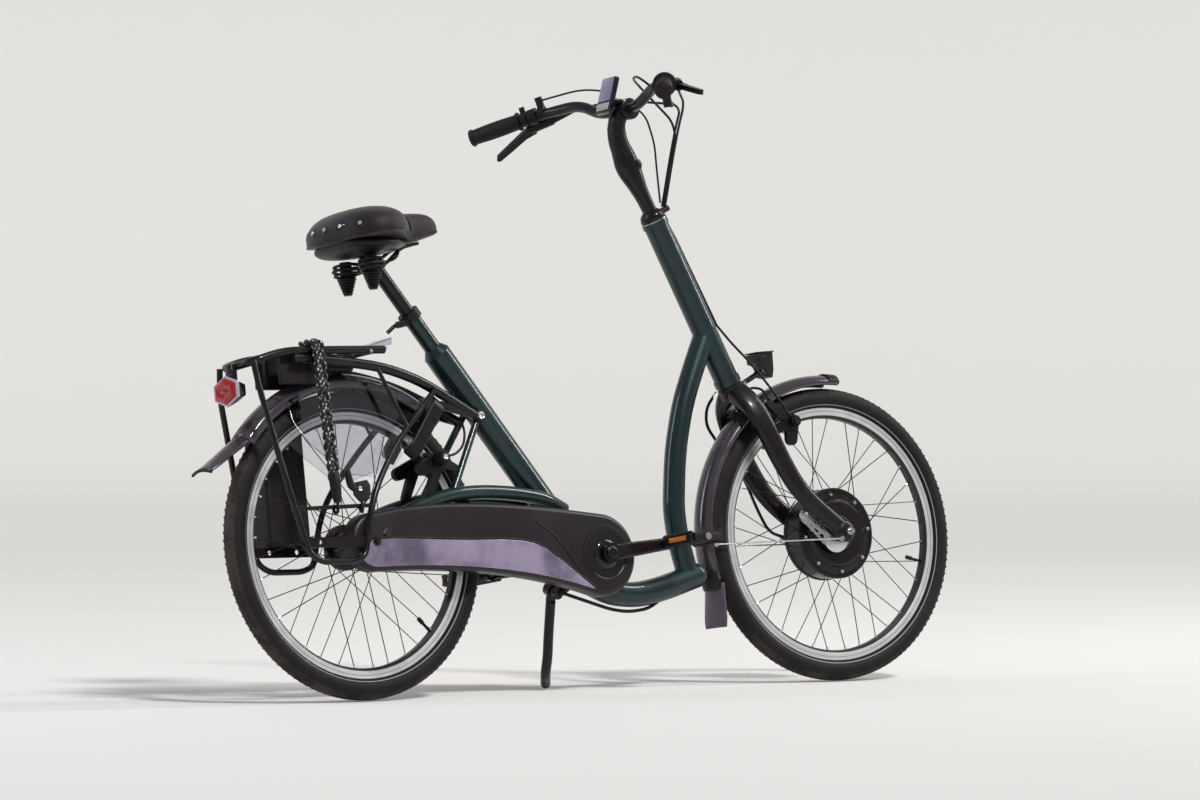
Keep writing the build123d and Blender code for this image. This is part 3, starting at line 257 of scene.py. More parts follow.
looks = {
    "framePaint": {"colour": (0.0012, 0.0135, 0.0160), "second": (0.0025, 0.0240, 0.0260), "metallic": 0.2,
                   "rough": 0.36, "specular": 0.3, "coat": 0.5, "coatRough": 0.02, "grainScale": 5200.0,
                   "bump": 0.04, "bumpDepth": 0.0002, "patchScale": 3.0, "dust": 0.02},
    "blackPaint": {"colour": (0.0055, 0.0030, 0.0050), "second": (0.009, 0.0055, 0.0085), "rough": 0.30,
                   "coat": 0.15, "coatRough": 0.12, "grainScale": 1600.0, "bump": 0.08, "dust": 0.02},
    "satinBlack": {"colour": (0.0060, 0.0036, 0.0052), "rough": 0.40, "grainScale": 2600.0, "bump": 0.2,
                   "dust": 0.04},
    "mattePlastic": {"colour": (0.0080, 0.0052, 0.0070), "second": (0.013, 0.009, 0.011), "rough": 0.52,
                     "grainScale": 2100.0, "bump": 0.35, "bumpDepth": 0.0003, "dust": 0.04, "patchScale": 6.0},
    "caseShell": {"colour": (0.0085, 0.0052, 0.0078), "second": (0.0125, 0.0085, 0.0115), "rough": 0.38,
                  "spread": 0.05, "grainScale": 2400.0, "bump": 0.3, "bumpDepth": 0.0002, "dust": 0.03,
                  "patchScale": 4.0, "specular": 0.35},
    "glossPlastic": {"colour": (0.008, 0.0055, 0.008), "rough": 0.12, "spread": 0.04, "coat": 0.3,
                     "grainScale": 300.0, "bump": 0.03, "dust": 0.03, "scratches": 0.05},
    # Painted reflection: the panel's pale lavender colour, and the darker patches mixed through it, stand in
    # for the reflections on a glossy clear panel
    "casePanel": {"colour": (0.30, 0.25, 0.37), "second": (0.10, 0.078, 0.13), "rough": 0.12, "spread": 0.04,
                  "coat": 1.0, "specular": 0.5, "metallic": 0.2, "grainScale": 300.0, "bump": 0.03,
                  "dust": 0.04, "scratches": 0.06, "patchScale": 9.0, "patchAmount": 1.0},
    # The guards' own dark plastic colour, lightened along with its lighter patches so that it stands in for the
    # broad pale reflection on the glossy shell: partly a painted reflection
    "guardShellPaintedReflection": {"colour": (0.026, 0.0195, 0.029), "second": (0.042, 0.034, 0.047), "rough": 0.22,
                   "coat": 0.7, "coatRough": 0.10, "specular": 0.5, "grainScale": 1200.0, "bump": 0.06,
                   "dust": 0.06, "patchScale": 12.0},
    "flapRubber": {"colour": (0.075, 0.062, 0.085), "second": (0.10, 0.085, 0.11), "rough": 0.42,
                   "grainScale": 1200.0, "bump": 0.12, "dust": 0.1, "patchScale": 12.0},
    "alloy": {"colour": (0.60, 0.60, 0.61), "second": (0.70, 0.70, 0.71), "metallic": 1.0, "rough": 0.28,
              "grainScale": 1900.0, "bump": 0.08, "dust": 0.05, "scratches": 0.25,
              "scratchColour": (0.25, 0.25, 0.26), "specular": 0.5},
    "darkSteel": {"colour": (0.018, 0.015, 0.018), "second": (0.035, 0.030, 0.035), "metallic": 0.6,
                  "rough": 0.34, "grainScale": 1500.0, "bump": 0.1, "dust": 0.04},
    "leverGrey": {"colour": (0.020, 0.014, 0.021), "second": (0.030, 0.023, 0.031), "metallic": 0.3,
                  "rough": 0.30, "grainScale": 2600.0, "bump": 0.15, "dust": 0.03},
    "faceSilver": {"colour": (0.42, 0.40, 0.47), "second": (0.50, 0.48, 0.55), "metallic": 0.35, "rough": 0.3,
                   "grainScale": 2600.0, "bump": 0.05, "dust": 0.05, "specular": 0.5},
    "hoseRubber": {"colour": (0.006, 0.004, 0.006), "rough": 0.38, "grainScale": 1500.0, "bump": 0.1,
                   "dust": 0.02},
    "gripRubber": {"colour": (0.0085, 0.0050, 0.0075), "second": (0.013, 0.008, 0.011), "rough": 0.55,
                   "grainScale": 1300.0, "bump": 0.3, "dust": 0.04},
    "amber": {"colour": (0.72, 0.20, 0.03), "second": (0.85, 0.32, 0.06), "rough": 0.16, "coat": 1.0,
              "grainScale": 420.0, "bump": 0.25, "bumpDepth": 0.0006, "dust": 0.1},
    "redLens": {"colour": (0.30, 0.006, 0.008), "second": (0.46, 0.02, 0.02), "rough": 0.14, "coat": 0.4,
                "grainScale": 380.0, "bump": 0.15, "bumpDepth": 0.0006, "dust": 0.02},
    "clearLens": {"colour": (0.55, 0.56, 0.60), "second": (0.70, 0.71, 0.74), "metallic": 0.5, "rough": 0.1,
                  "coat": 1.0, "grainScale": 260.0, "bump": 0.2, "bumpDepth": 0.0006, "dust": 0.05},
    "clearSheet": {"colour": (0.80, 0.79, 0.84), "second": (0.86, 0.85, 0.89), "rough": 0.02, "spread": 0.01,
                   "clear": 1.0, "specular": 0.6, "grainScale": 120.0, "bump": 0.0, "dust": 0.02},
    "screenGlass": {"colour": (0.20, 0.19, 0.33), "second": (0.26, 0.25, 0.40), "rough": 0.10, "spread": 0.03,
                    "coat": 1.0, "grainScale": 200.0, "bump": 0.01, "dust": 0.03},
}
looks["stayPaint"] = dict(looks["framePaint"], darkWithin=0.155)
finishes = {name: makeFinish(name, look) for name, look in looks.items()}


# Finishes that follow a wheel: the pattern is turned to the wheel's own axle
def wheelPlace(tree, where, body, centre):
    # How far from the axle, and at what angle round it
    there = bodyFrame(body)
    values = {"Vector": where, "Location": there @ centre, "Rotation": there.to_3x3().normalized().to_euler()}
    mapped = addNode(tree, "Mapping", values, vector_type="TEXTURE")[0]
    split = addNode(tree, "SeparateXYZ", {0: mapped})
    flat = addNode(tree, "VectorMath", {0: mapped, 1: (1, 0, 1)}, operation="MULTIPLY")[0]
    radius = addNode(tree, "VectorMath", {0: flat}, operation="LENGTH")["Value"]
    return radius, mathNode(tree, "ARCTAN2", split["Z"], split["X"])


def bandMask(tree, value, low, high, soft=0.0004):
    rise = rangeNode(tree, value, low - soft, low + soft)
    fall = rangeNode(tree, value, high - soft, high + soft)
    return mathNode(tree, "SUBTRACT", rise, fall)


tyreLook = {
    "rubber": (0.0065, 0.0045, 0.006), "worn": (0.011, 0.008, 0.010), "line": (0.34, 0.34, 0.36),
    "lineRadius": (0.2655, 0.2667), "treadFrom": 0.2925, "ribs": 120.0, "grainScale": 700.0, "patchScale": 14.0,
    "rough": 0.62, "dust": 0.12,
}


def makeTyreRubber(name, body, centre, look):
    material, tree, shader, where = startMaterial(name)
    radius, angle = wheelPlace(tree, where, body, centre)
    surface = surfaceNodes(tree, where, look)
    rubber = mixColour(tree, surface["Patch"], look["rubber"], look["worn"])
    tread = rangeNode(tree, radius, look["treadFrom"] - 0.003, look["treadFrom"] + 0.003)
    grime = mathNode(tree, "MULTIPLY", tread, surface["Patch"])
    rubber = mixColour(tree, mathNode(tree, "MULTIPLY", grime, look["dust"]), rubber, dustColour)
    line = bandMask(tree, radius, *look["lineRadius"])
    wave = mathNode(tree, "SINE", mathNode(tree, "MULTIPLY", angle, look["ribs"]))
    shoulder = bandMask(tree, radius, 0.286, 0.299, 0.001)
    cross = mathNode(tree, "MULTIPLY", rangeNode(tree, wave, 0.3, 0.6), shoulder)
    fine = bumpNode(tree, surface["Grain"], 0.25, 0.0005)
    setInputs(tree, shader, {
        "Base Color": mixColour(tree, line, rubber, look["line"]),
        "Roughness": rangeNode(tree, line, 0, 1, look["rough"], 0.3),
        "Normal": bumpNode(tree, cross, 0.6, 0.0009, fine), "Specular IOR Level": 0.2,
    })
    return material


rimLook = {
    "track": (0.84, 0.83, 0.84), "trackWorn": (0.66, 0.65, 0.66), "box": (0.010, 0.008, 0.010),
    "trackRadius": (0.2450, 0.2615), "groove": (0.2528, 0.2536), "rings": 5200.0, "rough": 0.3,
    "grainScale": 1800.0, "patchScale": 24.0,
}


def makeRimAlloy(name, body, centre, look):
    material, tree, shader, where = startMaterial(name)
    radius = wheelPlace(tree, where, body, centre)[0]
    surface = surfaceNodes(tree, where, look)
    turned = mathNode(tree, "SINE", mathNode(tree, "MULTIPLY", radius, look["rings"]))
    worn = mathNode(tree, "MULTIPLY_ADD", turned, 0.25, surface["Patch"])
    worn = mathNode(tree, "MULTIPLY", worn, 0.5)
    machined = mixColour(tree, worn, look["track"], look["trackWorn"])
    groove = bandMask(tree, radius, *look["groove"], 0.0002)
    track = mathNode(tree, "SUBTRACT", bandMask(tree, radius, *look["trackRadius"]), groove)
    fine = bumpNode(tree, surface["Grain"], 0.12, 0.0003)
    setInputs(tree, shader, {
        "Base Color": mixColour(tree, track, look["box"], machined),
        "Metallic": rangeNode(tree, track, 0, 1, 0.1, 0.92),
        "Roughness": mathNode(tree, "MULTIPLY_ADD", surface["Patch"], 0.15, look["rough"]),
        "Normal": bumpNode(tree, turned, 0.12, 0.0002, fine),
    })
    return material


saddleLook = {
    "cover": (0.0080, 0.0038, 0.0072), "worn": (0.017, 0.009, 0.015), "pebble": 820.0, "rough": 0.38,
    "patchScale": 16.0, "grainScale": 2600.0, "dust": 0.04,
}


def makeSaddleCover(name, look):
    material, tree, shader, where = startMaterial(name)
    surface = surfaceNodes(tree, where, look)
    cells = addNode(tree, "TexVoronoi", {"Vector": where, "Scale": look["pebble"]})["Distance"]
    pebble = rangeNode(tree, cells, 0.0, 0.6, 1.0, 0.0)
    creases = mathNode(tree, "MULTIPLY", surface["Patch"], 0.6)
    cover = mixColour(tree, creases, look["cover"], look["worn"])
    dust = mathNode(tree, "MULTIPLY", surface["Dust"], look["dust"])
    fine = bumpNode(tree, surface["Grain"], 0.12, 0.0002)
    setInputs(tree, shader, {
        "Base Color": mixColour(tree, dust, cover, dustColour),
        "Roughness": rangeNode(tree, pebble, 0, 1, look["rough"] + 0.12, look["rough"] - 0.06),
        "Normal": bumpNode(tree, pebble, 0.35, 0.0004, fine),
        "Sheen Weight": 0.15, "Specular IOR Level": 0.2,
    })
    return material


braidLook = {
    "dark": (0.012, 0.009, 0.011), "light": (0.50, 0.48, 0.46), "turn": (0.0, 0.62, 0.0),
    "fleck": (165.0, 165.0, 88.0), "weave": 300.0,
}


def makeBraid(name, look):
    # Pale flecks are woven into the black sleeve of each cord
    material, tree, shader, where = startMaterial(name)
    values = {"Vector": where, "Rotation": look["turn"], "Scale": look["fleck"]}
    mapped = addNode(tree, "Mapping", values)[0]
    cells = addNode(tree, "TexVoronoi", {"Vector": mapped, "Scale": 1.0, "Randomness": 0.25})["Distance"]
    fleck = rangeNode(tree, cells, 0.27, 0.33, 1.0, 0.0)
    values = {"Vector": where, "Scale": look["weave"], "Distortion": 1.5}
    wave = addNode(tree, "TexWave", values, bands_direction="DIAGONAL")["Fac"]
    setInputs(tree, shader, {
        "Base Color": mixColour(tree, fleck, look["dark"], look["light"]),
        "Normal": bumpNode(tree, wave, 0.5, 0.0005),
        "Roughness": 0.8, "Sheen Weight": 0.2, "Specular IOR Level": 0.2,
    })
    return material


finishes["saddleCover"] = makeSaddleCover("saddleCover", saddleLook)
finishes["braid"] = makeBraid("braid", braidLook)
finishes["rearRubber"] = makeTyreRubber("rearRubber", "rear_wheel", rearHub, tyreLook)
finishes["frontRubber"] = makeTyreRubber("frontRubber", "front_wheel", frontAxle, tyreLook)
finishes["rearRimAlloy"] = makeRimAlloy("rearRimAlloy", "rear_wheel", rearHub, rimLook)
finishes["frontRimAlloy"] = makeRimAlloy("frontRimAlloy", "front_wheel", frontAxle, rimLook)
print("finishes made")

# The CAD pieces that keep their shapes take these finishes
nodeFinish = {
    "framePaint": "head_tube main_tube lower_tube seat_tube bracket_shell left_stay stay_struts",
    "stayPaint": "right_stay",
    "blackPaint": "handlebar cranks rack_rails rack_side_left rack_side_right rack_leg_left rack_leg_right "
                  "side_stand stand_bracket seat_post hub_motor rear_hub fork_crown fork_blades stem",
    "satinBlack": "brake_levers front_brake rear_brake seat_clamp saddle_frame shifters ring_lock",
    "mattePlastic": "rack_box battery headlight right_pedal left_pedal display",
    "caseShell": "chain_case",
    "casePanel": "case_panel",
    "clearSheet": "coat_guards",
    "guardShellPaintedReflection": "front_mudguard rear_mudguard",
    "alloy": "front_axle mudguard_stays",
    "darkSteel": "front_spokes rear_spokes rear_axle",
    "leverGrey": "stem_lever",
    "faceSilver": "rack_clip",
    "hoseRubber": "bar_cables fork_cables frame_cables",
    "gripRubber": "grips",
    "redLens": "rear_light",
    "braid": "strap",
    "saddleCover": "saddle",
    "rearRubber": "rear_tyre", "frontRubber": "front_tyre",
    "rearRimAlloy": "rear_rim", "frontRimAlloy": "front_rim",
}
for finishName, members in nodeFinish.items():
    for member in members.split():
        if member in frame["nodes"]:
            mesh = frame["nodes"][member].data
            mesh.materials.clear()
            mesh.materials.append(finishes[finishName])


# Mesh helpers
def lookAlong(at, direction):
    turn = Vector(direction).normalized().to_track_quat("Z", "Y").to_matrix().to_4x4()
    return Matrix.Translation(Vector(at)) @ turn


def addBar(bm, start, end, radius, segments=20, endRadius=None):
    start, end = Vector(start), Vector(end)
    bmesh.ops.create_cone(
        bm, cap_ends=True, segments=segments, radius1=radius,
        radius2=radius if endRadius is None else endRadius,
        depth=(end - start).length, matrix=lookAlong((start + end) / 2, end - start),
    )


def roundEdges(bm, edges, width, segments):
    bmesh.ops.bevel(bm, geom=list(edges), offset=width, offset_type="OFFSET", segments=segments, profile=0.5,
                    affect="EDGES", material=-1)


def addBlock(bm, centre, size, turn=(0, 0, 0), bevel=0.0, segments=2):
    matrix = Matrix.Translation(Vector(centre)) @ Euler([math.radians(a) for a in turn]).to_matrix().to_4x4()
    made = bmesh.ops.create_cube(bm, size=1, matrix=matrix @ Matrix.Diagonal((*size, 1)))
    if bevel:
        roundEdges(bm, {e for v in made["verts"] for e in v.link_edges}, bevel, segments)


def addBolt(bm, at, direction, radius, height=3.0):
    # A round head with a sunk middle
    normal = Vector(direction).normalized()
    made = bmesh.ops.create_cone(
        bm, cap_ends=True, segments=12, radius1=radius, radius2=radius * 0.86, depth=height,
        matrix=lookAlong(Vector(at) + normal * height / 2, normal),
    )
    bm.normal_update()
    faces = {f for v in made["verts"] for f in v.link_faces}
    top = [f for f in faces if len(f.verts) == 12 and f.normal.dot(normal) > 0.9]
    bmesh.ops.inset_region(bm, faces=top, thickness=radius * 0.4)
    bmesh.ops.translate(bm, verts=list({v for f in top for v in f.verts}), vec=-normal * height * 0.6)


def joinMesh(bm, part):
    mesh = bpy.data.meshes.new("joined")
    part.to_mesh(mesh)
    part.free()
    bm.from_mesh(mesh)
    bpy.data.meshes.remove(mesh)


def addSpin(bm, profile, centre, axis, steps=48):
    # profile lists how far along the axis and how far from it
    part = bmesh.new()
    axis = Vector(axis).normalized()
    side = axis.orthogonal().normalized()
    verts = [part.verts.new(Vector(centre) + axis * along + side * out) for along, out in profile]
    edges = [part.edges.new(pair) for pair in zip(verts, verts[1:])]
    bmesh.ops.spin(part, geom=verts + edges, cent=Vector(centre), axis=axis, angle=math.tau, steps=steps,
                   use_merge=True)
    bmesh.ops.remove_doubles(part, verts=part.verts, dist=0.001)
    bmesh.ops.recalc_face_normals(part, faces=part.faces)
    joinMesh(bm, part)


def smoothRows(rows, steps):
    # Rows between the given ones, on a smooth curve through them
    out = []
    for i in range(len(rows) - 1):
        a, b, c, d = (rows[min(max(k, 0), len(rows) - 1)] for k in (i - 1, i, i + 1, i + 2))
        for n in range(steps):
            t = n / steps
            out.append([0.5 * (2 * q + (r - p) * t + (2 * p - 5 * q + 4 * r - w) * t ** 2
                               + (3 * q - p - 3 * r + w) * t ** 3) for p, q, r, w in zip(a, b, c, d)])
    return out + [list(rows[-1])]


def addLoft(bm, count, segments, spot):
    # Rings joined from end to end; spot(i, c, s) places a point of ring i
    last = None
    for i in range(count):
        ring = bmesh.ops.create_circle(bm, cap_ends=False, radius=1, segments=segments)["verts"]
        for v in ring:
            v.co = spot(i, v.co.x, v.co.y)
        loop = list({e for v in ring for e in v.link_edges})
        if last is None:
            bmesh.ops.edgeloop_fill(bm, edges=loop)
        else:
            bmesh.ops.bridge_loops(bm, edges=last + loop)
        last = loop
    bmesh.ops.edgeloop_fill(bm, edges=last)


def addSweep(bm, rows, segments=24, power=1.0, side=(0, 1, 0), steps=3):
    # rows: x, y, z, half depth, half width; the width lies along the side direction
    part = bmesh.new()
    rows = smoothRows(rows, steps)
    points = [Vector(row[:3]) for row in rows]

    def spot(i, x, y):
        ahead = (points[min(i + 1, len(rows) - 1)] - points[max(i - 1, 0)]).normalized()
        deep = Vector(side).cross(ahead).normalized()
        wide = ahead.cross(deep)
        c, s = (math.copysign(abs(k) ** power, k) for k in (x, y))
        return points[i] + deep * c * rows[i][3] + wide * s * rows[i][4]
    addLoft(part, len(rows), segments, spot)
    bmesh.ops.recalc_face_normals(part, faces=part.faces)
    joinMesh(bm, part)


def addPlate(bm, outline, y0, y1, bevel=0.0, segments=3):
    # A plate parallel to the wheels; outline lists x and z
    part = bmesh.new()
    verts = [part.verts.new((x, y0, z)) for x, z in outline]
    face = part.faces.new(verts)
    made = bmesh.ops.extrude_face_region(part, geom=[face])["geom"]
    moved = [g for g in made if isinstance(g, bmesh.types.BMVert)]
    bmesh.ops.translate(part, verts=moved, vec=(0, y1 - y0, 0))
    bmesh.ops.recalc_face_normals(part, faces=part.faces)
    if bevel:
        rim = [e for e in part.edges if all(abs(v.co.y - y1) < 0.001 for v in e.verts)]
        roundEdges(part, rim, bevel, segments)
    joinMesh(bm, part)


def addSheet(bm, place, along, across):
    # A grid whose points are set by place(u, v), both from 0 to 1
    part = bmesh.new()
    bmesh.ops.create_grid(part, x_segments=along, y_segments=across, size=0.5)
    for v in part.verts:
        v.co = place(v.co.x + 0.5, v.co.y + 0.5)
    joinMesh(bm, part)


def arcPoints(centre, radius, start, end, count):
    turns = [math.radians(start + (end - start) * i / count) for i in range(count + 1)]
    return [(centre[0] + radius * math.cos(turn), centre[1] + radius * math.sin(turn)) for turn in turns]


def bowPoints(a, middle, b, count):
    # Points between a and b on a curve through the middle
    out = []
    for i in range(1, count):
        t = i / count
        out.append(tuple(p * (1 - t) * (1 - 2 * t) + q * 4 * t * (1 - t) + r * t * (2 * t - 1)
                         for p, q, r in zip(a, middle, b)))
    return out


def addTube(bm, points, radius, closed=False, sides=3):
    # A round tube along a smooth line through the points, from a curve's bevel
    curve = bpy.data.curves.new("path", "CURVE")
    curve.dimensions = "3D"
    curve.bevel_depth = radius
    curve.bevel_resolution = sides
    curve.use_fill_caps = not closed
    spline = curve.splines.new("NURBS")
    spline.points.add(len(points) - 1)
    for spot, point in zip(spline.points, points):
        spot.co = (*point, 1)
    spline.order_u = 3
    spline.use_endpoint_u = not closed
    spline.use_cyclic_u = closed
    holder = bpy.data.objects.new("path", curve)
    mesh = bpy.data.meshes.new_from_object(holder)
    bm.from_mesh(mesh)
    bpy.data.objects.remove(holder)
    bpy.data.meshes.remove(mesh)
    bpy.data.curves.remove(curve)


def mirrorY(point, side):
    return Vector((point[0], point[1] * side, point[2]))


def finishPiece(bm, name, body, finish, sharp=38, subdivide=0, thick=0.0, normals=True, replaced=()):
    if normals:
        bmesh.ops.recalc_face_normals(bm, faces=bm.faces)
    bm.transform(bodyFrame(body))
    mesh = bpy.data.meshes.new(name)
    bm.to_mesh(mesh)
    bm.free()
    mesh.materials.append(finishes[finish])
    mesh.polygons.foreach_set("use_smooth", [True] * len(mesh.polygons))
    mesh.set_sharp_from_angle(angle=math.radians(sharp))
    piece = bpy.data.objects.new(name, mesh)
    bpy.context.scene.collection.objects.link(piece)
    if thick:
        modifier = piece.modifiers.new("wall", "SOLIDIFY")
        modifier.thickness, modifier.offset = thick / 1000, 0
    if subdivide:
        modifier = piece.modifiers.new("smooth", "SUBSURF")
        modifier.levels = modifier.render_levels = subdivide
    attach(piece, body)
    if replaced:
        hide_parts(*replaced)
    return piece


# Saddle: rings round the cover from the tail to the nose, with a welt, a seam and eyelets
saddle = {
    # columns: x, half width, top, height of the widest line, underside
    "rows": [
        (-4, 1, 612, 604, 596), (-1.5, 32, 621, 600, 589), (4, 57, 631, 599, 589), (12, 79, 641, 600, 591),
        (26, 101, 650.5, 602, 594), (45, 117, 657.5, 604, 596), (68, 124, 661.5, 606, 598),
        (95, 121, 662, 608, 600), (118, 107, 659, 610, 601), (138, 85, 655.5, 612, 601),
        (157, 58, 653.5, 613, 598), (180, 41, 653, 614, 594), (208, 36, 654, 616, 597),
        (234, 31, 653, 618, 604), (251, 25, 647, 619, 609), (261, 16, 637, 620, 613), (266, 1, 626, 621, 617),
    ],
    "segments": 56, "crown": 0.80, "side": 0.70, "lowSide": 0.9, "lowCrown": 0.5,
    "welt": 1.7, "weltAngle": 0.16, "seam": 1.2, "seamX": (150, 176), "seamPoints": 25,
    "eyelets": (-88, -45, 0, 45, 88), "eyeletZ": 620.0,
    # cups and rivets: radius at the foot and at the face, height
    "cup": (10.4, 8.6, 2.6), "rivet": (5.6, 4.4, 4.4),
}


def coverPoint(row, angle, out=0.0):
    # angle runs from the rider's left over the top
    x, width, top, middle, low = row
    c, s = math.cos(angle), math.sin(angle)
    if s >= 0:
        y = math.copysign(abs(c) ** saddle["side"], c) * (width + out)
        z = middle + (top - middle + out) * s ** saddle["crown"]
    else:
        y = math.copysign(abs(c) ** saddle["lowSide"], c) * (width + out)
        z = middle - (middle - low + out) * abs(s) ** saddle["lowCrown"]
    return Vector((x, y, z))


def rowAt(x):
    rows = saddle["rows"]
    for a, b in zip(rows, rows[1:]):
        if x <= b[0]:
            t = (x - a[0]) / (b[0] - a[0])
            return [p + (q - p) * t for p, q in zip(a, b)]
    return rows[-1]


def coverHeight(x, y):
    row = rowAt(x)
    if abs(y) >= row[1]:
        return row[3]
    c = (abs(y) / row[1]) ** (1 / saddle["side"])
    return row[3] + (row[2] - row[3]) * math.sqrt(1 - c * c) ** saddle["crown"]


def eyeletSpot(y, height):
    # Where the cover's tail reaches this height
    low, high = -4.0, 68.0
    for _ in range(30):
        middle = (low + high) / 2
        if coverHeight(middle, y) < height:
            low = middle
        else:
            high = middle
    return Vector((low, y, height))


def makeSaddle():
    bm = bmesh.new()
    rings = smoothRows(saddle["rows"], 3)
    for row in rings:
        row[1] = max(row[1], 0.8)
    addLoft(bm, len(rings), saddle["segments"], lambda i, c, s: coverPoint(rings[i], math.atan2(s, c)))
    piece = finishPiece(bm, "saddleCover", "frame", "saddleCover", sharp=180, subdivide=1,
                        replaced=["saddle"])
    bm = bmesh.new()
    rows = smoothRows(saddle["rows"], 2)
    welt = [coverPoint(row, -saddle["weltAngle"], 0.4) for row in rows]
    welt += [coverPoint(row, math.pi + saddle["weltAngle"], 0.4) for row in reversed(rows)]
    addTube(bm, welt, saddle["welt"], closed=True, sides=2)
    seam = []
    front, deep = saddle["seamX"][1], saddle["seamX"][1] - saddle["seamX"][0]
    for i in range(saddle["seamPoints"]):
        angle = math.pi * i / (saddle["seamPoints"] - 1)
        seam.append(coverPoint(rowAt(front - deep * math.sin(angle) ** 2), angle, 0.3))
    addTube(bm, seam, saddle["seam"], sides=2)
    finishPiece(bm, "saddleWelts", "frame", "satinBlack")
    cups, rivets = bmesh.new(), bmesh.new()
    height = saddle["eyeletZ"]
    for y in saddle["eyelets"]:
        at = eyeletSpot(y, height)
        slope = eyeletSpot(y + 3, height) - eyeletSpot(y - 3, height)
        normal = slope.cross(eyeletSpot(y, height + 3) - at)
        inward = normal.x > 0 and abs(y) < 80 or normal.dot(Vector((0, y, 0))) < 0
        turn = lookAlong(at, -normal if inward else normal)
        for bm, look, segments in ((cups, saddle["cup"], 24), (rivets, saddle["rivet"], 20)):
            bmesh.ops.create_cone(bm, cap_ends=True, segments=segments, radius1=look[0], radius2=look[1],
                                  depth=look[2], matrix=turn)
    finishPiece(cups, "saddleEyelets", "frame", "glossPlastic")
    finishPiece(rivets, "saddleRivets", "frame", "alloy")


# Under the saddle: a pan, two coils over ribbed rubber cones, and the rails with their clamp
springs = {
    "foot": (73, 42, 497), "ribs": 6, "ribPitch": 5.2, "ribStep": 1.7,
    "coil": 21.0, "coilSwell": 5.0, "coilFrom": 36.0, "coilRise": 26.0, "coilTurns": 3, "coilWire": 3.0,
    "rail": [(58, 40, 536), (74, 38, 534), (98, 27, 540), (128, 22, 554), (150, 20, 572), (176, 17, 588),
             (214, 12, 594)],
    "loop": [(112, 24, 553), (136, 30, 556), (154, 27, 570), (160, 18, 584)], "railWire": 3.6, "loopWire": 2.6,
    "clamp": (101, 27, 551), "clampRadius": 13.5, "post": ((106, 0, 549), (94, 0, 570)), "postRadius": 17.0,
    # columns: x, y, z, half depth, half width
    "pan": [(12, 0, 594, 2, 36), (16, 0, 590, 8, 60), (32, 0, 585, 14, 84), (62, 0, 583, 16, 98),
            (100, 0, 584, 15, 92), (130, 0, 587, 14, 70), (156, 0, 591, 12, 44), (178, 0, 595, 8, 28),
            (190, 0, 600, 3, 18)],
}


def coilPoints(look, foot, steps=16):
    points = []
    count = look["coilTurns"] * steps
    for i in range(count + 1):
        out = look["coil"] + look["coilSwell"] * math.sin(math.pi * i / count)
        turn = math.tau * i / steps
        up = look["coilFrom"] + look["coilRise"] * i / count
        points.append(foot + Vector((out * math.cos(turn), out * math.sin(turn), up)))
    return points


def makeSaddleFrame():
    bm = bmesh.new()
    cone = [(0, 0.01), (0, 8)]
    for i in range(springs["ribs"]):
        up, out = 3 + springs["ribPitch"] * i, 9 + springs["ribStep"] * i
        cone += [(up, out), (up + 1, out + 1.6), (up + 3, out + 1.6), (up + 4, out + 0.2)]
    cone += [(35, 15), (36, 12), (66, 12), (66, 0.01)]
    for side in (-1, 1):
        foot = mirrorY(springs["foot"], side)
        addSpin(bm, cone, foot, (0, 0, 1), 28)
        addTube(bm, coilPoints(springs, foot), springs["coilWire"], sides=2)
        addTube(bm, [mirrorY(p, side) for p in springs["rail"]], springs["railWire"])
        addTube(bm, [mirrorY(p, side) for p in springs["loop"]], springs["loopWire"], sides=2)
    addBar(bm, mirrorY(springs["clamp"], -1), mirrorY(springs["clamp"], 1), springs["clampRadius"], 28)
    addBar(bm, *springs["post"], springs["postRadius"], 28)
    addSweep(bm, springs["pan"], 40, 0.85)
    for side in (-1, 1):
        addBolt(bm, mirrorY(springs["clamp"], side), (0, side, 0), 8, 4)
    finishPiece(bm, "saddleSprings", "frame", "satinBlack", replaced=["saddle_frame"])


makeSaddle()
makeSaddleFrame()
print("saddle made")

# Tyre tread: rows of small blocks copied round each wheel
tread = {
    "radius": 300.2, "section": 24.0, "steps": 124, "rise": 0.9,
    # columns: distance off the middle, length, width, slant in degrees
    "blocks": [(0, 8.5, 5, 0), (5.4, 9.5, 3.4, 24), (-5.4, 9.5, 3.4, -24), (10.6, 7.5, 4.4, 48),
               (-10.6, 7.5, 4.4, -48)],
}


def makeTread(name, body, centre, finish):
    bm = bmesh.new()
    section, steps = tread["section"], tread["steps"]
    for off, length, width, slant in tread["blocks"]:
        drop = section - math.sqrt(section ** 2 - off * off)
        tilt = math.degrees(math.asin(off / section))
        at = centre + Vector((0, off, tread["radius"] - drop))
        addBlock(bm, at, (length, width, tread["rise"]), (-tilt, 0, slant))
    bmesh.ops.spin(bm, geom=bm.verts[:] + bm.edges[:] + bm.faces[:], cent=centre, axis=(0, 1, 0),
                   angle=math.tau * (1 - 1 / steps), steps=steps - 1, use_duplicate=True)
    finishPiece(bm, name, body, finish, sharp=20)


makeTread("rearTread", "rear_wheel", rearHub, "rearRubber")
makeTread("frontTread", "front_wheel", frontAxle, "frontRubber")

# Spoke nipples and a valve on each rim
spokeEnds = {"count": 18, "radius": 240.5, "off": 2.5, "nipple": 1.9, "length": 8.0}
valve = {"stem": (206, 240, 3.0), "cap": (203, 216, 4.4)}


def outFrom(degrees):
    turn = math.radians(degrees)
    return Vector((math.sin(turn), 0, math.cos(turn)))


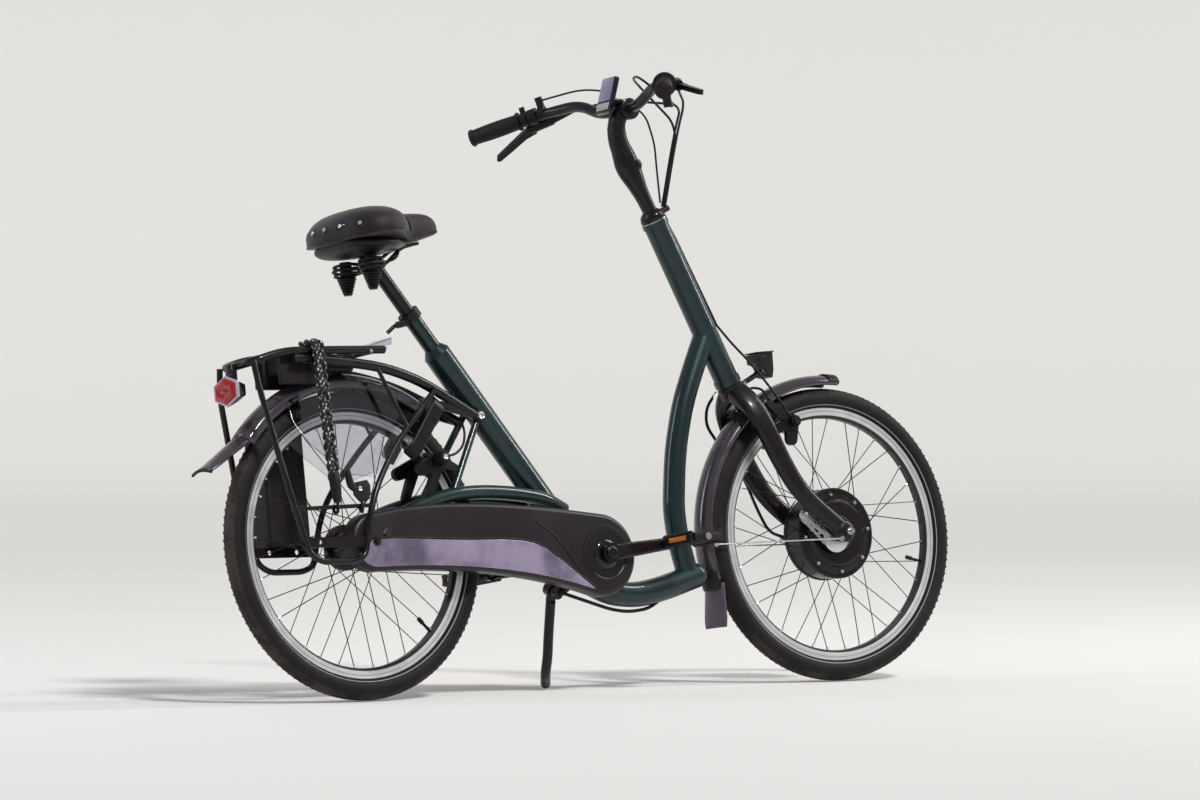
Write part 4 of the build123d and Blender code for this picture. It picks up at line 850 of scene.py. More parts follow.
def makeNipples(name, body, centre, valveTurn):
    bm = bmesh.new()
    look = spokeEnds
    for side in (-1, 1):
        for i in range(look["count"]):
            out = outFrom(360 / look["count"] * (i + side / 4))
            foot = centre + out * (look["radius"] - look["length"]) + Vector((0, side * look["off"] * 1.4, 0))
            end = centre + out * look["radius"] + Vector((0, side * look["off"], 0))
            addBar(bm, foot, end, look["nipple"], 8)
    finishPiece(bm, name + "Nipples", body, "alloy")
    bm = bmesh.new()
    out = outFrom(valveTurn)
    for near, far, radius in valve.values():
        addBar(bm, centre + out * near, centre + out * far, radius, 12)
    finishPiece(bm, name + "Valve", body, "satinBlack")


makeNipples("rear", "rear_wheel", rearHub, 135.6)
makeNipples("front", "front_wheel", frontAxle, 105.0)

# Motor cover screws, and the slotted arm that holds the motor's axle
motor = {
    "screws": 8, "screwRadius": 80.0, "screw": 4.4, "faceAt": 28.0, "firstScrew": 5.0,
    # the arm's ends are ahead of and above the axle
    "armFrom": (-92, 38), "armTo": (-36, -12), "armY": (-46.4, -50.6), "armHalf": (9.5, 14.0), "flange": 3.0,
    "webs": (0.0, 0.22, 0.46, 0.70, 0.94), "web": 3.4, "webSlant": 0.35, "webHalf": 9.0, "webWiden": 4.0,
    "eye": (-17, -10), "eyeRadius": 31.0, "eyeTurn": 352.0, "boss": 10.5, "bossBolt": 6.5,
}


def makeMotorDetails():
    bm = bmesh.new()
    for side in (-1, 1):
        for i in range(motor["screws"]):
            a = math.radians(360 / motor["screws"] * i + motor["firstScrew"])
            out = motor["screwRadius"]
            spot = Vector((out * math.cos(a), side * motor["faceAt"], out * math.sin(a)))
            addBolt(bm, frontAxle + spot, (0, side, 0), motor["screw"], 3.4)
    finishPiece(bm, "motorScrews", "front_wheel", "alloy")
    bm = bmesh.new()
    a, b = (frontAxle + Vector((x, 0, z)) for x, z in (motor["armFrom"], motor["armTo"]))
    run = (b - a).normalized()
    off = Vector((-run.z, 0, run.x))
    y0, y1 = motor["armY"]
    for edge in (-1, 1):
        ends = [p + off * edge * half for p, half in zip((a, b), motor["armHalf"])]
        flange = off * edge * motor["flange"]
        corners = (ends[0] + flange, ends[1] + flange, ends[1] - flange, ends[0] - flange)
        addPlate(bm, [p.xz for p in corners], y0, y1)
    for share in motor["webs"]:
        middle = a + (b - a) * share
        slant = (off + run * motor["webSlant"]) * (motor["webHalf"] + motor["webWiden"] * share)
        thick = run * motor["web"]
        low, high = middle - slant, middle + slant
        corners = (low - thick, high - thick, high + thick, low + thick)
        addPlate(bm, [p.xz for p in corners], y0 - 0.2, y1 + 0.2)
    eye = (frontAxle.x + motor["eye"][0], frontAxle.z + motor["eye"][1])
    addPlate(bm, arcPoints(eye, motor["eyeRadius"], 0, motor["eyeTurn"], 44), y0, y1, 0.6, 2)
    addBar(bm, (a.x, y0, a.z), (a.x, y1 - 1, a.z), motor["boss"], 28)
    addBolt(bm, (a.x, y1 - 1, a.z), (0, -1, 0), motor["bossBolt"], 4)
    finishPiece(bm, "torqueArm", "steering", "alloy")


makeMotorDetails()
print("wheels dressed")

# Fork: a crown with sloping shoulders that runs down into two curved blades
fork = {
    # columns: x, y, z, half depth, half width
    "blade": [
        (998, 0, 297, 24, 23), (1000, -20, 288, 25, 20), (1006, -42, 270, 25, 15), (1016, -55, 246, 24, 12),
        (1031, -60.5, 212, 23.5, 10.5), (1050, -61, 172, 23, 10.2), (1071, -61, 134, 22, 10),
        (1095, -61, 98, 21, 10), (1124, -61, 67, 20, 10), (1157, -61, 40, 19, 10), (1188, -61, 17, 18.5, 10),
        (1206, -61, 2, 18.5, 10),
    ],
    "race": 24.6, "raceFrom": 350.0, "raceTo": 376.0, "ring": 26.8, "ringFrom": 369.0, "ringTo": 373.0,
    "tipBack": 3.0, "tipSide": 61.0,
    # columns: sideways, radius
    "tip": [(-11, 0.01), (-11, 17), (-8, 21), (8, 21), (11, 17), (11, 0.01)],
}


def makeFork():
    bm = bmesh.new()
    for side in (-1, 1):
        addSweep(bm, [(x, y * -side, z, deep, wide) for x, y, z, deep, wide in fork["blade"]], 28, 0.8)
        tip = frontAxle + Vector((-fork["tipBack"], side * fork["tipSide"], 0))
        addSpin(bm, fork["tip"], tip, (0, 1, 0), 40)
    for radius, start, end in (("race", "raceFrom", "raceTo"), ("ring", "ringFrom", "ringTo")):
        addBar(bm, axisFoot + axisDir * fork[start], axisFoot + axisDir * fork[end], fork[radius], 40)
    finishPiece(bm, "forkShell", "steering", "blackPaint",
                replaced=["fork_crown", "fork_blades"])


makeFork()

# Stem, its hinge and the collar on the head tube
stem = {
    # columns: x, y, z, half depth, half width
    "riser": [
        (775, 0, 879, 15, 22), (764, 0, 868, 17, 20), (757, 0, 852, 17, 17), (754.6, 0, 835, 17, 16),
        (758, 0, 808, 19.5, 16), (768, 0, 779, 25, 16), (774, 0, 762, 27, 15.5), (782, 0, 746, 25.5, 15),
        (791, 0, 729, 21.5, 14.5), (800, 0, 711, 17.5, 14), (809, 0, 694, 15, 14), (817, 0, 678, 14.2, 14),
        (824, 0, 664, 14, 14), (830, 0, 651, 14, 14),
    ],
    "lever": [(750, 0, 857, 5, 8), (745, 0, 848, 7, 10), (743, 0, 835, 7, 11), (742.5, 0, 820, 7, 11),
              (745, 0, 800, 7, 10), (751, 0, 780, 6, 9), (758, 0, 762, 3, 6)],
    "leverPad": (736.5, 0, 829), "leverPadSize": (3, 13, 22),
    "hinge": (789, 0, 762), "hingeRadius": 12.0,
    "teeth": 8, "firstTooth": -50.0, "toothPitch": 15.0, "tooth": (5, 22, 1.6),
    # columns: sideways or upwards, radius
    "hingeProfile": [(-15, 0.01), (-15, 9), (-13, 12), (13, 12), (15, 9), (15, 0.01)],
    "clamp": [(-27, 0.01), (-27, 18), (-25, 22), (-9, 22), (-8, 20.5), (8, 20.5), (9, 22), (25, 22), (27, 18),
              (27, 0.01)],
    "collar": [(1, 25), (4, 26.6), (8, 26.6), (9, 25), (12, 25), (17, 22), (22, 16), (22, 0.01)],
    "noseUp": 9.0, "noseRun": (40, 0, 18.6), "nose": 6.5, "clampBolt": (-16, 16, 16),
    "ring": [(-0.6, 24), (-0.6, 27.4), (1.2, 27.4), (1.2, 24)],
}


def makeStem():
    bm = bmesh.new()
    addSweep(bm, stem["riser"], 28, 0.8)
    addSpin(bm, stem["clamp"], barClamp, (0, 1, 0), 44)
    addSpin(bm, stem["hingeProfile"], stem["hinge"], (0, 1, 0), 36)
    for i in range(stem["teeth"]):
        degrees = stem["firstTooth"] + stem["toothPitch"] * i
        angle = math.radians(degrees)
        out = Vector((math.cos(angle), 0, math.sin(angle))) * stem["hingeRadius"]
        addBlock(bm, Vector(stem["hinge"]) + out, stem["tooth"], (0, -degrees, 0))
    addSpin(bm, stem["collar"], headTop, axisDir, 44)
    nose = headTop + axisDir * stem["noseUp"]
    addBar(bm, nose, nose + Vector(stem["noseRun"]), stem["nose"], 20)
    for side in (-1, 1):
        addBolt(bm, barClamp + mirrorY(stem["clampBolt"], side), (-1, 0, 1), 4.5, 4)
    finishPiece(bm, "stemShell", "steering", "blackPaint", replaced=["stem"])
    bm = bmesh.new()
    addSweep(bm, stem["lever"], 24, 0.7)
    addBlock(bm, stem["leverPad"], stem["leverPadSize"], bevel=1.4)
    finishPiece(bm, "stemCatch", "steering", "leverGrey", replaced=["stem_lever"])
    bm = bmesh.new()
    addSpin(bm, stem["ring"], headTop, axisDir, 48)
    finishPiece(bm, "headRing", "steering", "alloy")


makeStem()

# Display on its arm behind the bar
display = {
    "at": (738, 0, 904), "tilt": 18.5, "size": (12, 50, 78), "screen": (1.6, 41, 50), "screenUp": 11.0,
    "keys": (1.4, 41, 15), "keysUp": -26.0, "keySpots": (-13, 0, 13), "key": 4.0, "armFrom": (4, 0, -8),
    "armTo": (-8, 0, 14), "arm": 8.0,
}


def makeDisplay():
    turn = Matrix.Translation(Vector(display["at"])) @ Matrix.Rotation(math.radians(display["tilt"]), 4, "Y")
    back = -display["size"][0] / 2
    body, screen, keys = bmesh.new(), bmesh.new(), bmesh.new()
    addBlock(body, (0, 0, 0), display["size"], bevel=4, segments=4)
    addBlock(screen, (back - 0.2, 0, display["screenUp"]), display["screen"], bevel=0.6)
    addBlock(keys, (back - 0.2, 0, display["keysUp"]), display["keys"], bevel=0.6)
    for y in display["keySpots"]:
        addBar(keys, (back - 1.6, y, display["keysUp"]), (back - 0.4, y, display["keysUp"]), display["key"], 20)
    for bm in (body, screen, keys):
        bm.transform(turn)
    arm = (Vector(display["at"]) + Vector(display["armFrom"]), barClamp + Vector(display["armTo"]))
    addBar(body, *arm, display["arm"], 24)
    finishPiece(body, "displayBody", "steering", "glossPlastic", replaced=["display"])
    finishPiece(screen, "displayScreen", "steering", "screenGlass")
    finishPiece(keys, "displayKeys", "steering", "faceSilver")


makeDisplay()

# Grips with ribs, an end cap and a clamp ring
grip = {
    "at": barClamp + Vector((-79, 263, 13)), "run": (-0.5777, 0.786, -0.2178), "length": 105.6, "ribs": 26,
    "radius": 15.7, "swell": 1.3, "ringRadius": 19.0, "capRadius": 18.0,
}


def makeGrips():
    bm = bmesh.new()
    length, radius, ring, cap = grip["length"], grip["radius"], grip["ringRadius"], grip["capRadius"]
    last = grip["ribs"] - 1
    profile = [(0, 11.2), (0, ring), (2.4, ring + 0.4), (4, ring), (4.4, radius)]
    for i in range(grip["ribs"]):
        at = 6 + (length - 12) * i / last
        out = radius + grip["swell"] * math.sin(math.pi * i / last)
        profile += [(at - 1.2, out - 0.3), (at - 0.7, out + 0.25), (at + 0.7, out + 0.25),
                    (at + 1.2, out - 0.3)]
    profile += [(length - 1.5, radius), (length, cap), (length + 4, cap - 0.1), (length + 5.8, cap - 1.6),
                (length + 6, 0.01)]
    for side in (1, -1):
        addSpin(bm, profile, mirrorY(grip["at"], side), mirrorY(grip["run"], side), 36)
    finishPiece(bm, "ribbedGrips", "steering", "gripRubber", sharp=50, replaced=["grips"])


makeGrips()

# Headlight: a squared housing with a lid, a lens in front and two thin legs to the crown
light = {
    "x": (1049, 1088), "z": (350, 376), "half": 20.0, "lid": 3.0, "leg": 3.4, "legFoot": (1014, 9, 310),
    "lens": (2.4, 35, 34), "bolt": 6.5, "footBolt": 5.5, "footBoltAt": (1018, 12, 313),
}


def makeHeadlight():
    (x0, x1), (z0, z1), half = light["x"], light["z"], light["half"]
    bm = bmesh.new()
    outline = [(x0, z1 - 3), (x0 + 1, z0 + 4), (x0 + 14, z0 - 1), (x0 + 24, z0 - 24), (x1 - 4, z0 - 26),
               (x1, z0 - 10), (x1, z1)]
    addPlate(bm, outline, -half, half, 1.5, 2)
    addBlock(bm, ((x0 + x1) / 2 + 1, 0, z1 + 0.5), (x1 - x0 + 5, 2 * half + 3, light["lid"]), (0, -3, 0), 1.2)
    for side in (-1, 1):
        addBar(bm, (x0 + 21, side * 11, z0 - 12), mirrorY(light["legFoot"], side), light["leg"], 14)
        addBlock(bm, (x0 + 12, side * (half + 0.6), z1 - 12), (18, 1.6, 12), bevel=0.6)
    finishPiece(bm, "lightHousing", "steering", "mattePlastic", replaced=["headlight"])
    bm = bmesh.new()
    addBlock(bm, (x1 + 0.6, 0, z1 - 20), light["lens"], bevel=1)
    finishPiece(bm, "lightLens", "steering", "clearLens")
    bm = bmesh.new()
    for side in (-1, 1):
        addBolt(bm, (x0 + 21, side * 14, z0 - 12), (0, side, 0), light["bolt"], 4)
        addBolt(bm, mirrorY(light["footBoltAt"], side), (0, side, 0), light["footBolt"], 4)
    finishPiece(bm, "lightBolts", "steering", "alloy")


makeHeadlight()
print("front dressed")

# Rear lamp: a red lens with cut facets in a silver frame
lamp = {
    "back": -272.0, "height": 303.0, "half": 46.0, "rise": 27.0, "deep": 27.0, "taper": 0.66,
    "tongue": (12, 26, 34), "tongueAt": (18, 37), "frame": 5.0, "lens": 5.0, "lensIn": (5.0, 9.0), "facet": 2.6,
}


def addHexagon(bm, x, radius1, radius2, depth, rounding=0.0):
    # Six sides, wider than high, facing back
    place = Matrix.Translation((x, 0, lamp["height"])) @ Matrix.Rotation(-math.pi / 2, 4, "Y")
    squash = Matrix.Diagonal((lamp["rise"] / (0.88 * lamp["half"]), 1, 1, 1))
    bmesh.ops.create_cone(bm, cap_ends=True, segments=6, radius1=radius1, radius2=radius2, depth=depth,
                          matrix=place @ squash @ Matrix.Rotation(math.pi / 2, 4, "Z"))
    if rounding:
        roundEdges(bm, bm.edges, rounding, 3)


def makeRearLamp():
    back, half, deep = lamp["back"], lamp["half"], lamp["deep"]
    bm = bmesh.new()
    addHexagon(bm, back + deep / 2 + 4, half * lamp["taper"], half, deep, 3)
    addBlock(bm, (back + lamp["tongueAt"][0], 0, lamp["height"] + lamp["tongueAt"][1]), lamp["tongue"], bevel=3)
    finishPiece(bm, "lampBody", "frame", "glossPlastic", replaced=["rear_light"])
    bm = bmesh.new()
    addHexagon(bm, back + 3.5, half + 0.5, half - 1.5, lamp["frame"], 1.4)
    finishPiece(bm, "lampFrame", "frame", "faceSilver")
    bm = bmesh.new()
    addHexagon(bm, back + 0.6, half - lamp["lensIn"][0], half - lamp["lensIn"][1], lamp["lens"])
    caps = [f for f in bm.faces if len(f.verts) == 6]
    bmesh.ops.inset_region(bm, faces=caps, thickness=10, depth=lamp["facet"])
    bmesh.ops.inset_region(bm, faces=caps, thickness=9, depth=-lamp["facet"])
    bmesh.ops.poke(bm, faces=caps, offset=3.0)
    finishPiece(bm, "lampLens", "frame", "redLens", sharp=5)


makeRearLamp()

# Guards: thin crowned shells over both wheels, with a flap at the end of each
guard = {
    "width": 56.0, "crown": 15.0, "wall": 2.2, "flat": 0.88, "roundness": 2.4, "tuck": 0.07,
    "studFrom": 335.0, "studTo": 322.0, "stud": 7.0,
}
# Guards and their ends: radius, first and last angle, skirt
guardRuns = {
    "rear": (335.0, 48, 140, 15.0), "front": (327.0, 84, 196, 6.0), "frontTip": (330.0, 83.4, 88, 6.0),
    "frontTail": (330.5, 192, 199, 6.0),
}
flaps = {
    # middle of the top and low edges, hollow's direction, half widths, hollow's depths
    "rear": {"top": (-244, 0, 222), "low": (-346, 0, 151), "hollowAlong": (0.57, 0, -0.82), "half": (27, 31),
             "hollow": (17, 7), "wall": 3.4, "edge": 3.2},
    "front": {"turn": 197.0, "radius": 318.0, "drop": (4, 0, -90), "hollowAlong": (1, 0, 0), "half": (33, 40),
              "hollow": (12, 4), "wall": 3.0, "pins": (-11, 0, 11), "pin": 2.6},
}


def addGuard(bm, centre, run, along, across):
    radius, start, end, skirt = guardRuns[run]

    def place(u, v):
        a = math.radians(start + (end - start) * u)
        off = (v - 0.5) * 2
        edge = max(0.0, abs(off) - guard["flat"]) / (1 - guard["flat"])
        inner = min(1.0, abs(off) / guard["flat"])
        out = radius - guard["crown"] * inner ** guard["roundness"] - skirt * edge
        y = guard["width"] / 2 * (inner - guard["tuck"] * edge) * (1 if off > 0 else -1)
        return centre + Vector((math.cos(a) * out, y, math.sin(a) * out))
    addSheet(bm, place, along, across)


def addFlap(bm, look, top, low):
    # The flap bends from its top to its low end, hollow towards the wheel
    def place(u, v):
        off = (v - 0.5) * 2
        half = look["half"][0] + (look["half"][1] - look["half"][0]) * u
        corner = 1 - 0.10 * max(0, u - 0.8) / 0.2 * off ** 4
        droop = look["hollow"][0] + (look["hollow"][1] - look["hollow"][0]) * u
        across = Vector((0, half * off * corner, 0))
        return top.lerp(low, u) + Vector(look["hollowAlong"]) * droop * off * off + across
    addSheet(bm, place, 14, 12)


def makeGuards():
    wall = guard["wall"]
    bm = bmesh.new()
    addGuard(bm, rearHub, "rear", 72, 32)
    finishPiece(bm, "rearGuard", "frame", "guardShellPaintedReflection", sharp=60, thick=wall,
                replaced=["rear_mudguard"])
    look = flaps["rear"]
    top, low = Vector(look["top"]), Vector(look["low"])
    bm = bmesh.new()
    addFlap(bm, look, top, low)
    finishPiece(bm, "rearFlap", "frame", "guardShellPaintedReflection", sharp=60, thick=look["wall"])
    bm = bmesh.new()
    edge = []
    hollow, half = Vector(look["hollowAlong"]) * look["hollow"][1], look["half"][1]
    for k in (-1, -0.66, -0.33, 0, 0.33, 0.66, 1):
        edge.append(low + hollow * k * k + Vector((0, half * k, 0)))
    addTube(bm, edge, look["edge"])
    finishPiece(bm, "rearFlapEdge", "frame", "satinBlack")
    bm = bmesh.new()
    addGuard(bm, frontAxle, "front", 84, 16)
    finishPiece(bm, "frontGuard", "steering", "guardShellPaintedReflection", sharp=60, thick=wall,
                replaced=["front_mudguard"])
    bm = bmesh.new()
    addGuard(bm, frontAxle, "frontTip", 6, 16)
    addGuard(bm, frontAxle, "frontTail", 8, 16)
    addBar(bm, axisFoot + axisDir * guard["studFrom"], axisFoot + axisDir * guard["studTo"], guard["stud"], 20)
    finishPiece(bm, "frontGuardEnds", "steering", "satinBlack", sharp=60, thick=2.6)
    look = flaps["front"]
    a = math.radians(look["turn"])
    top = frontAxle + Vector((math.cos(a), 0, math.sin(a))) * look["radius"]
    bm = bmesh.new()
    addFlap(bm, look, top, top + Vector(look["drop"]))
    finishPiece(bm, "frontFlap", "steering", "flapRubber", sharp=60, thick=look["wall"])
    bm = bmesh.new()
    for y in look["pins"]:
        addBolt(bm, (top.x - 4, y, top.z + 4), (-1, 0, 0), look["pin"], 2.2)
    finishPiece(bm, "frontFlapPins", "steering", "alloy")


makeGuards()
print("guards made")

# Chain case: a moulded shell round the chain, with a ring and a disc at the crank and a glossy lower panel, its
# pale colour a painted reflection
case = {
    "nose": (559, -37), "noseRadius": 82.0, "tailRadius": 57.0, "inner": -42.0, "outer": -76.6, "edge": 11.0,
    "topMiddle": (240, 72), "lowMiddle": (302, -68), "panelIn": 7.0, "panelWall": (3.0, -1.0),
    "panelTop": [(-8, 3), (56, 5), (140, 1), (226, -2), (300, -2), (350, -5), (385, -11), (411, -21.5),
                 (451, -46), (493, -77), (530, -104)],
    "crease": [(395, 33), (430, 12), (462, -22), (492, -64), (520, -96), (548, -107)],
    # columns: out from the case's face, radius
    "ring": [(-3, 59), (1.0, 57), (1.8, 53), (1.0, 49), (-0.5, 47.5)],
    "disc": [(-0.5, 48), (0.4, 47), (0.8, 30), (3, 28), (5, 24), (5.6, 20), (5.6, 12)],
}


def caseOutline(inset):
    nose, tail = case["noseRadius"] - inset, case["tailRadius"] - inset
    front = arcPoints(case["nose"], nose, 82, -102, 30)
    rear = arcPoints((0, 0), tail, 272, 88, 24)
    shift = Vector((0, inset))
    over = bowPoints(rear[-1], Vector(case["topMiddle"]) - shift, front[0], 22)
    under = bowPoints(front[-1], Vector(case["lowMiddle"]) + shift, rear[0], 22)
    return rear + over + front + under


def makeCase():
    outer = case["outer"]
    bm = bmesh.new()
    addPlate(bm, caseOutline(0), case["inner"], outer, case["edge"], 5)
    finishPiece(bm, "caseShell", "frame", "caseShell", sharp=50, replaced=["chain_case"])
    for name, key, finish, slot, sharp in (("caseRing", "ring", "caseShell", "black_plastic", 50),
                                           ("crankDisc", "disc", "glossPlastic", "gloss_plastic", 40)):
        bm = bmesh.new()
        addSpin(bm, [(out - outer, radius) for out, radius in case[key]], bracket, (0, -1, 0), 72)
        finishPiece(bm, name, "frame", finish, sharp=sharp)
    bm = bmesh.new()
    top = case["panelTop"]
    low = sorted([p for p in caseOutline(case["panelIn"]) if p[1] < -20 and p[0] < 528], key=lambda p: -p[0])
    addPlate(bm, top + low, outer + case["panelWall"][0], outer + case["panelWall"][1], 1.2, 3)
    finishPiece(bm, "panelShell", "frame", "casePanel", sharp=50, replaced=["case_panel"])
    bm = bmesh.new()
    addTube(bm, [(x, outer - 0.6, z + 2.6) for x, z in top], 1.3, sides=2)
    addTube(bm, [(x, outer - 0.1, z) for x, z in case["crease"]], 1.4, sides=2)
    finishPiece(bm, "caseSeams", "frame", "satinBlack")


makeCase()

# Pedals: two toothed rails, ends and ribs round a housing, with an amber reflector in each rail
pedal = {
    "reach": 170.0, "raise": 6.0, "inner": 98.0, "length": 86.0, "width": 96.0, "railIn": 5.5,
    "rail": (9.6, 88, 5.6), "railUp": 8.2, "teeth": 8, "toothPitch": 11.0, "tooth": (6, 4.4, 2.4),
    "toothUp": 11.4, "end": (9, 15, 13), "endAt": 35.5, "web": (3, 60, 12), "reflector": (3.4, 54, 10),
    "cheek": (66, 8, 17), "cheekAt": 43.5, "rib": (66, 6, 14), "ribAt": 17.0, "housing": 12.0,
    "housingHalf": 47.8,
}


def makePedal(name, node, side):
    turn = math.radians(pedal["raise"])
    reach = pedal["reach"] * (1 if side < 0 else -1)
    centre = bracket + Vector((math.cos(turn), 0, math.sin(turn))) * reach
    centre.y = side * (pedal["inner"] + pedal["width"] / 2)
    bm, lights = bmesh.new(), bmesh.new()

    def add(part, away, size, bevel=0.0):
        addBlock(part, centre + Vector(away), size, bevel=bevel)
    for step in (-1, 1):
        x = step * (pedal["length"] / 2 - pedal["railIn"])
        for up in (-1, 1):
            add(bm, (x, 0, up * pedal["railUp"]), pedal["rail"], 1.6)
            for i in range(pedal["teeth"]):
                y = pedal["toothPitch"] * (i - (pedal["teeth"] - 1) / 2)
                add(bm, (x, y, up * pedal["toothUp"]), pedal["tooth"], 0.7)
        for y in (-pedal["endAt"], pedal["endAt"]):
            add(bm, (x, y, 0), pedal["end"], 1.6)
        add(bm, (x - step * 3, 0, 0), pedal["web"])
        add(lights, (x + step * 1.6, 0, 0), pedal["reflector"], 0.8)
        add(bm, (0, step * pedal["cheekAt"], 0), pedal["cheek"], 2.4)
        add(bm, (0, step * pedal["ribAt"], 0), pedal["rib"], 1.5)
    half = Vector((0, pedal["housingHalf"], 0))
    addBar(bm, centre + half, centre - half, pedal["housing"], 28)
    finishPiece(bm, name + "Body", node, "mattePlastic", replaced=[node])
    finishPiece(lights, name + "Reflectors", node, "amber")
    bm = bmesh.new()
    for near, far, radius in ((47, 49.5, 7.5), (-47, -66, 5.8)):
        addBar(bm, centre + Vector((0, side * near, 0)), centre + Vector((0, side * far, 0)), radius, 20)
    finishPiece(bm, name + "Spindle", node, "alloy")


makePedal("rightPedal", "right_pedal", -1)
makePedal("leftPedal", "left_pedal", 1)

# Cap and edge on each crank's end; columns: sideways, radius
crankCap = [(90, 13.4), (98.5, 13.4), (100.5, 11), (100.8, 7), (99.4, 6.4), (99.4, 0.01)]


def makeCrankCaps():
    bm = bmesh.new()
    for side in (-1, 1):
        addSpin(bm, crankCap, bracket, (0, side, 0), 40)
    finishPiece(bm, "crankCaps", "crankset", "satinBlack")


makeCrankCaps()
print("drive dressed")

# Strap: three sleeved elastic cords plaited from the rack down to a hook on the leg's bar
strap = {
    "line": [(-95, -26, 389), (-96, -56, 390), (-97, -72, 384), (-98, -76, 360), (-98, -79, 300),
             (-97, -84, 200), (-96, -88, 116)],
    "cord": 5.0, "sway": 8.5, "rise": 3.4, "pitch": 30.0, "samples": 130,
    # the moulded end, columns: x, y, z, half depth, half width
    "end": [(-96, -87, 132, 10, 8), (-96, -88.5, 118, 13, 9), (-96, -90, 98, 12, 9), (-96, -91, 82, 9, 8),
            (-96, -91, 74, 6, 6)],
    "hook": [(-96, -91, 78), (-96, -93, 66), (-96, -89, 55), (-96, -80, 55), (-96, -76, 64), (-96, -77, 72)],
    "hookWire": 3.2, "clasp": (-96, -62, 388.5), "claspSize": (30, 20, 7),
}


def makeStrap():
    points = [Vector(p) for p in smoothRows(strap["line"], 20)]
    lengths = [0.0]
    for a, b in zip(points, points[1:]):
        lengths.append(lengths[-1] + (b - a).length)

    def along(distance):
        for i in range(len(points) - 1):
            if distance <= lengths[i + 1] or i == len(points) - 2:
                t = (distance - lengths[i]) / max(1e-6, lengths[i + 1] - lengths[i])
                return points[i].lerp(points[i + 1], t), (points[i + 1] - points[i]).normalized()
    bm = bmesh.new()
    ahead = Vector((1, 0, 0))
    for strand in range(3):
        path = []
        for i in range(strap["samples"]):
            distance = lengths[-1] * i / (strap["samples"] - 1)
            at, run = along(distance)
            phase = math.tau * (distance / strap["pitch"] / 2 + strand / 3)
            face = run.cross(ahead).normalized()
            sway, rise = strap["sway"] * math.sin(phase), strap["rise"] * math.sin(2 * phase)
            path.append(at + ahead * sway + face * rise)
        addTube(bm, path, strap["cord"], sides=3)
    finishPiece(bm, "strapPlait", "frame", "braid", sharp=60, replaced=["strap"])
    bm = bmesh.new()
    addSweep(bm, strap["end"], 20, 0.9, side=(1, 0, 0))
    addTube(bm, strap["hook"], strap["hookWire"])
    addBlock(bm, strap["clasp"], strap["claspSize"], (12, 0, 0), 2)
    finishPiece(bm, "strapEnds", "frame", "gripRubber")


makeStrap()

# Clear coat guards on both sides of the rear wheel; the outline's low points are x and z
coatGuard = {
    "radius": 318.0, "turn": (118, 69),
    "low": [(116, 170), (96, 150), (37, 131), (-22, 137), (-104, 196), (-140, 240)], "side": (28.6, 30.8),
}


def makeCoatGuards():
    bm = bmesh.new()
    outline = arcPoints((0, 0), coatGuard["radius"], *coatGuard["turn"], 24) + coatGuard["low"]
    for side in (-1, 1):
        addPlate(bm, outline, side * coatGuard["side"][0], side * coatGuard["side"][1], 0.6, 1)
    finishPiece(bm, "clearGuards", "frame", "clearSheet", replaced=["coat_guards"])


# Spring clip on the rack: a folded sheet with side flanges, and the coil that closes it
clip = {
    "flange": [(18, 381), (44, 384), (116, 404), (119, 402), (117, 391), (60, 382), (18, 380)],
    "top": [(18, 381.5), (44, 384.5), (117, 405), (119, 403.6), (118, 402.6), (45, 382.8), (18, 380)],
    "half": 26.0, "wall": 1.4, "stop": (104, 0, 384), "stopSize": (10, 46, 6), "coilAt": (22, 383), "coil": 5.4,
    "coilHalf": 20.0, "coilTurns": 8, "wire": 1.2,
}


def makeClip():
    bm = bmesh.new()
    for side in (-1, 1):
        addPlate(bm, clip["flange"], side * clip["half"], side * (clip["half"] - clip["wall"]))
    addPlate(bm, clip["top"], -clip["half"], clip["half"])
    addBlock(bm, clip["stop"], clip["stopSize"], (0, -14, 0), 1)
    finishPiece(bm, "clipPlate", "frame", "faceSilver", replaced=["rack_clip"])


# Dark cheeks beside the box under the rack, and a hook for the strap's second end
fittings = {
    # columns: centre, size, bevel
    "cheeks": [((-120, 39, 342), (98, 12, 62), 3), ((-92, 46, 352), (20, 6, 34), 2)],
    "hookPlate": [(-56, 112), (-20, 118), (-13, 108), (-14, 88), (-24, 76), (-40, 76), (-52, 88)],
    "hookSide": (-86, -91),
    "hookNeck": [(-62, -88, 136, 5, 5), (-62, -88, 126, 7, 6), (-58, -88, 108, 8, 6), (-50, -88, 100, 5, 5)],
    "hook": [(-36, -88, 78), (-36, -91, 68), (-36, -89, 56), (-36, -82, 57), (-36, -80, 66)], "hookWire": 3.0,
    "boss": [(46, 0.01), (46, 12), (70, 12), (73, 10), (73, 0.01)], "bossAt": (188, 0, 163),
    # columns: place, radius, height; the first two are on both sides
    "bolts": [((308, -43, 248), 8.5, 3), ((34, -66.5, 372), 4, 3), ((-40, -91, 101), 5.5, 2.4),
              ((188, -73, 163), 6, 2.4)],
    "batteryBands": (60, 96, 132, 168, 204), "batteryFeet": (-138, -101, -64),
}


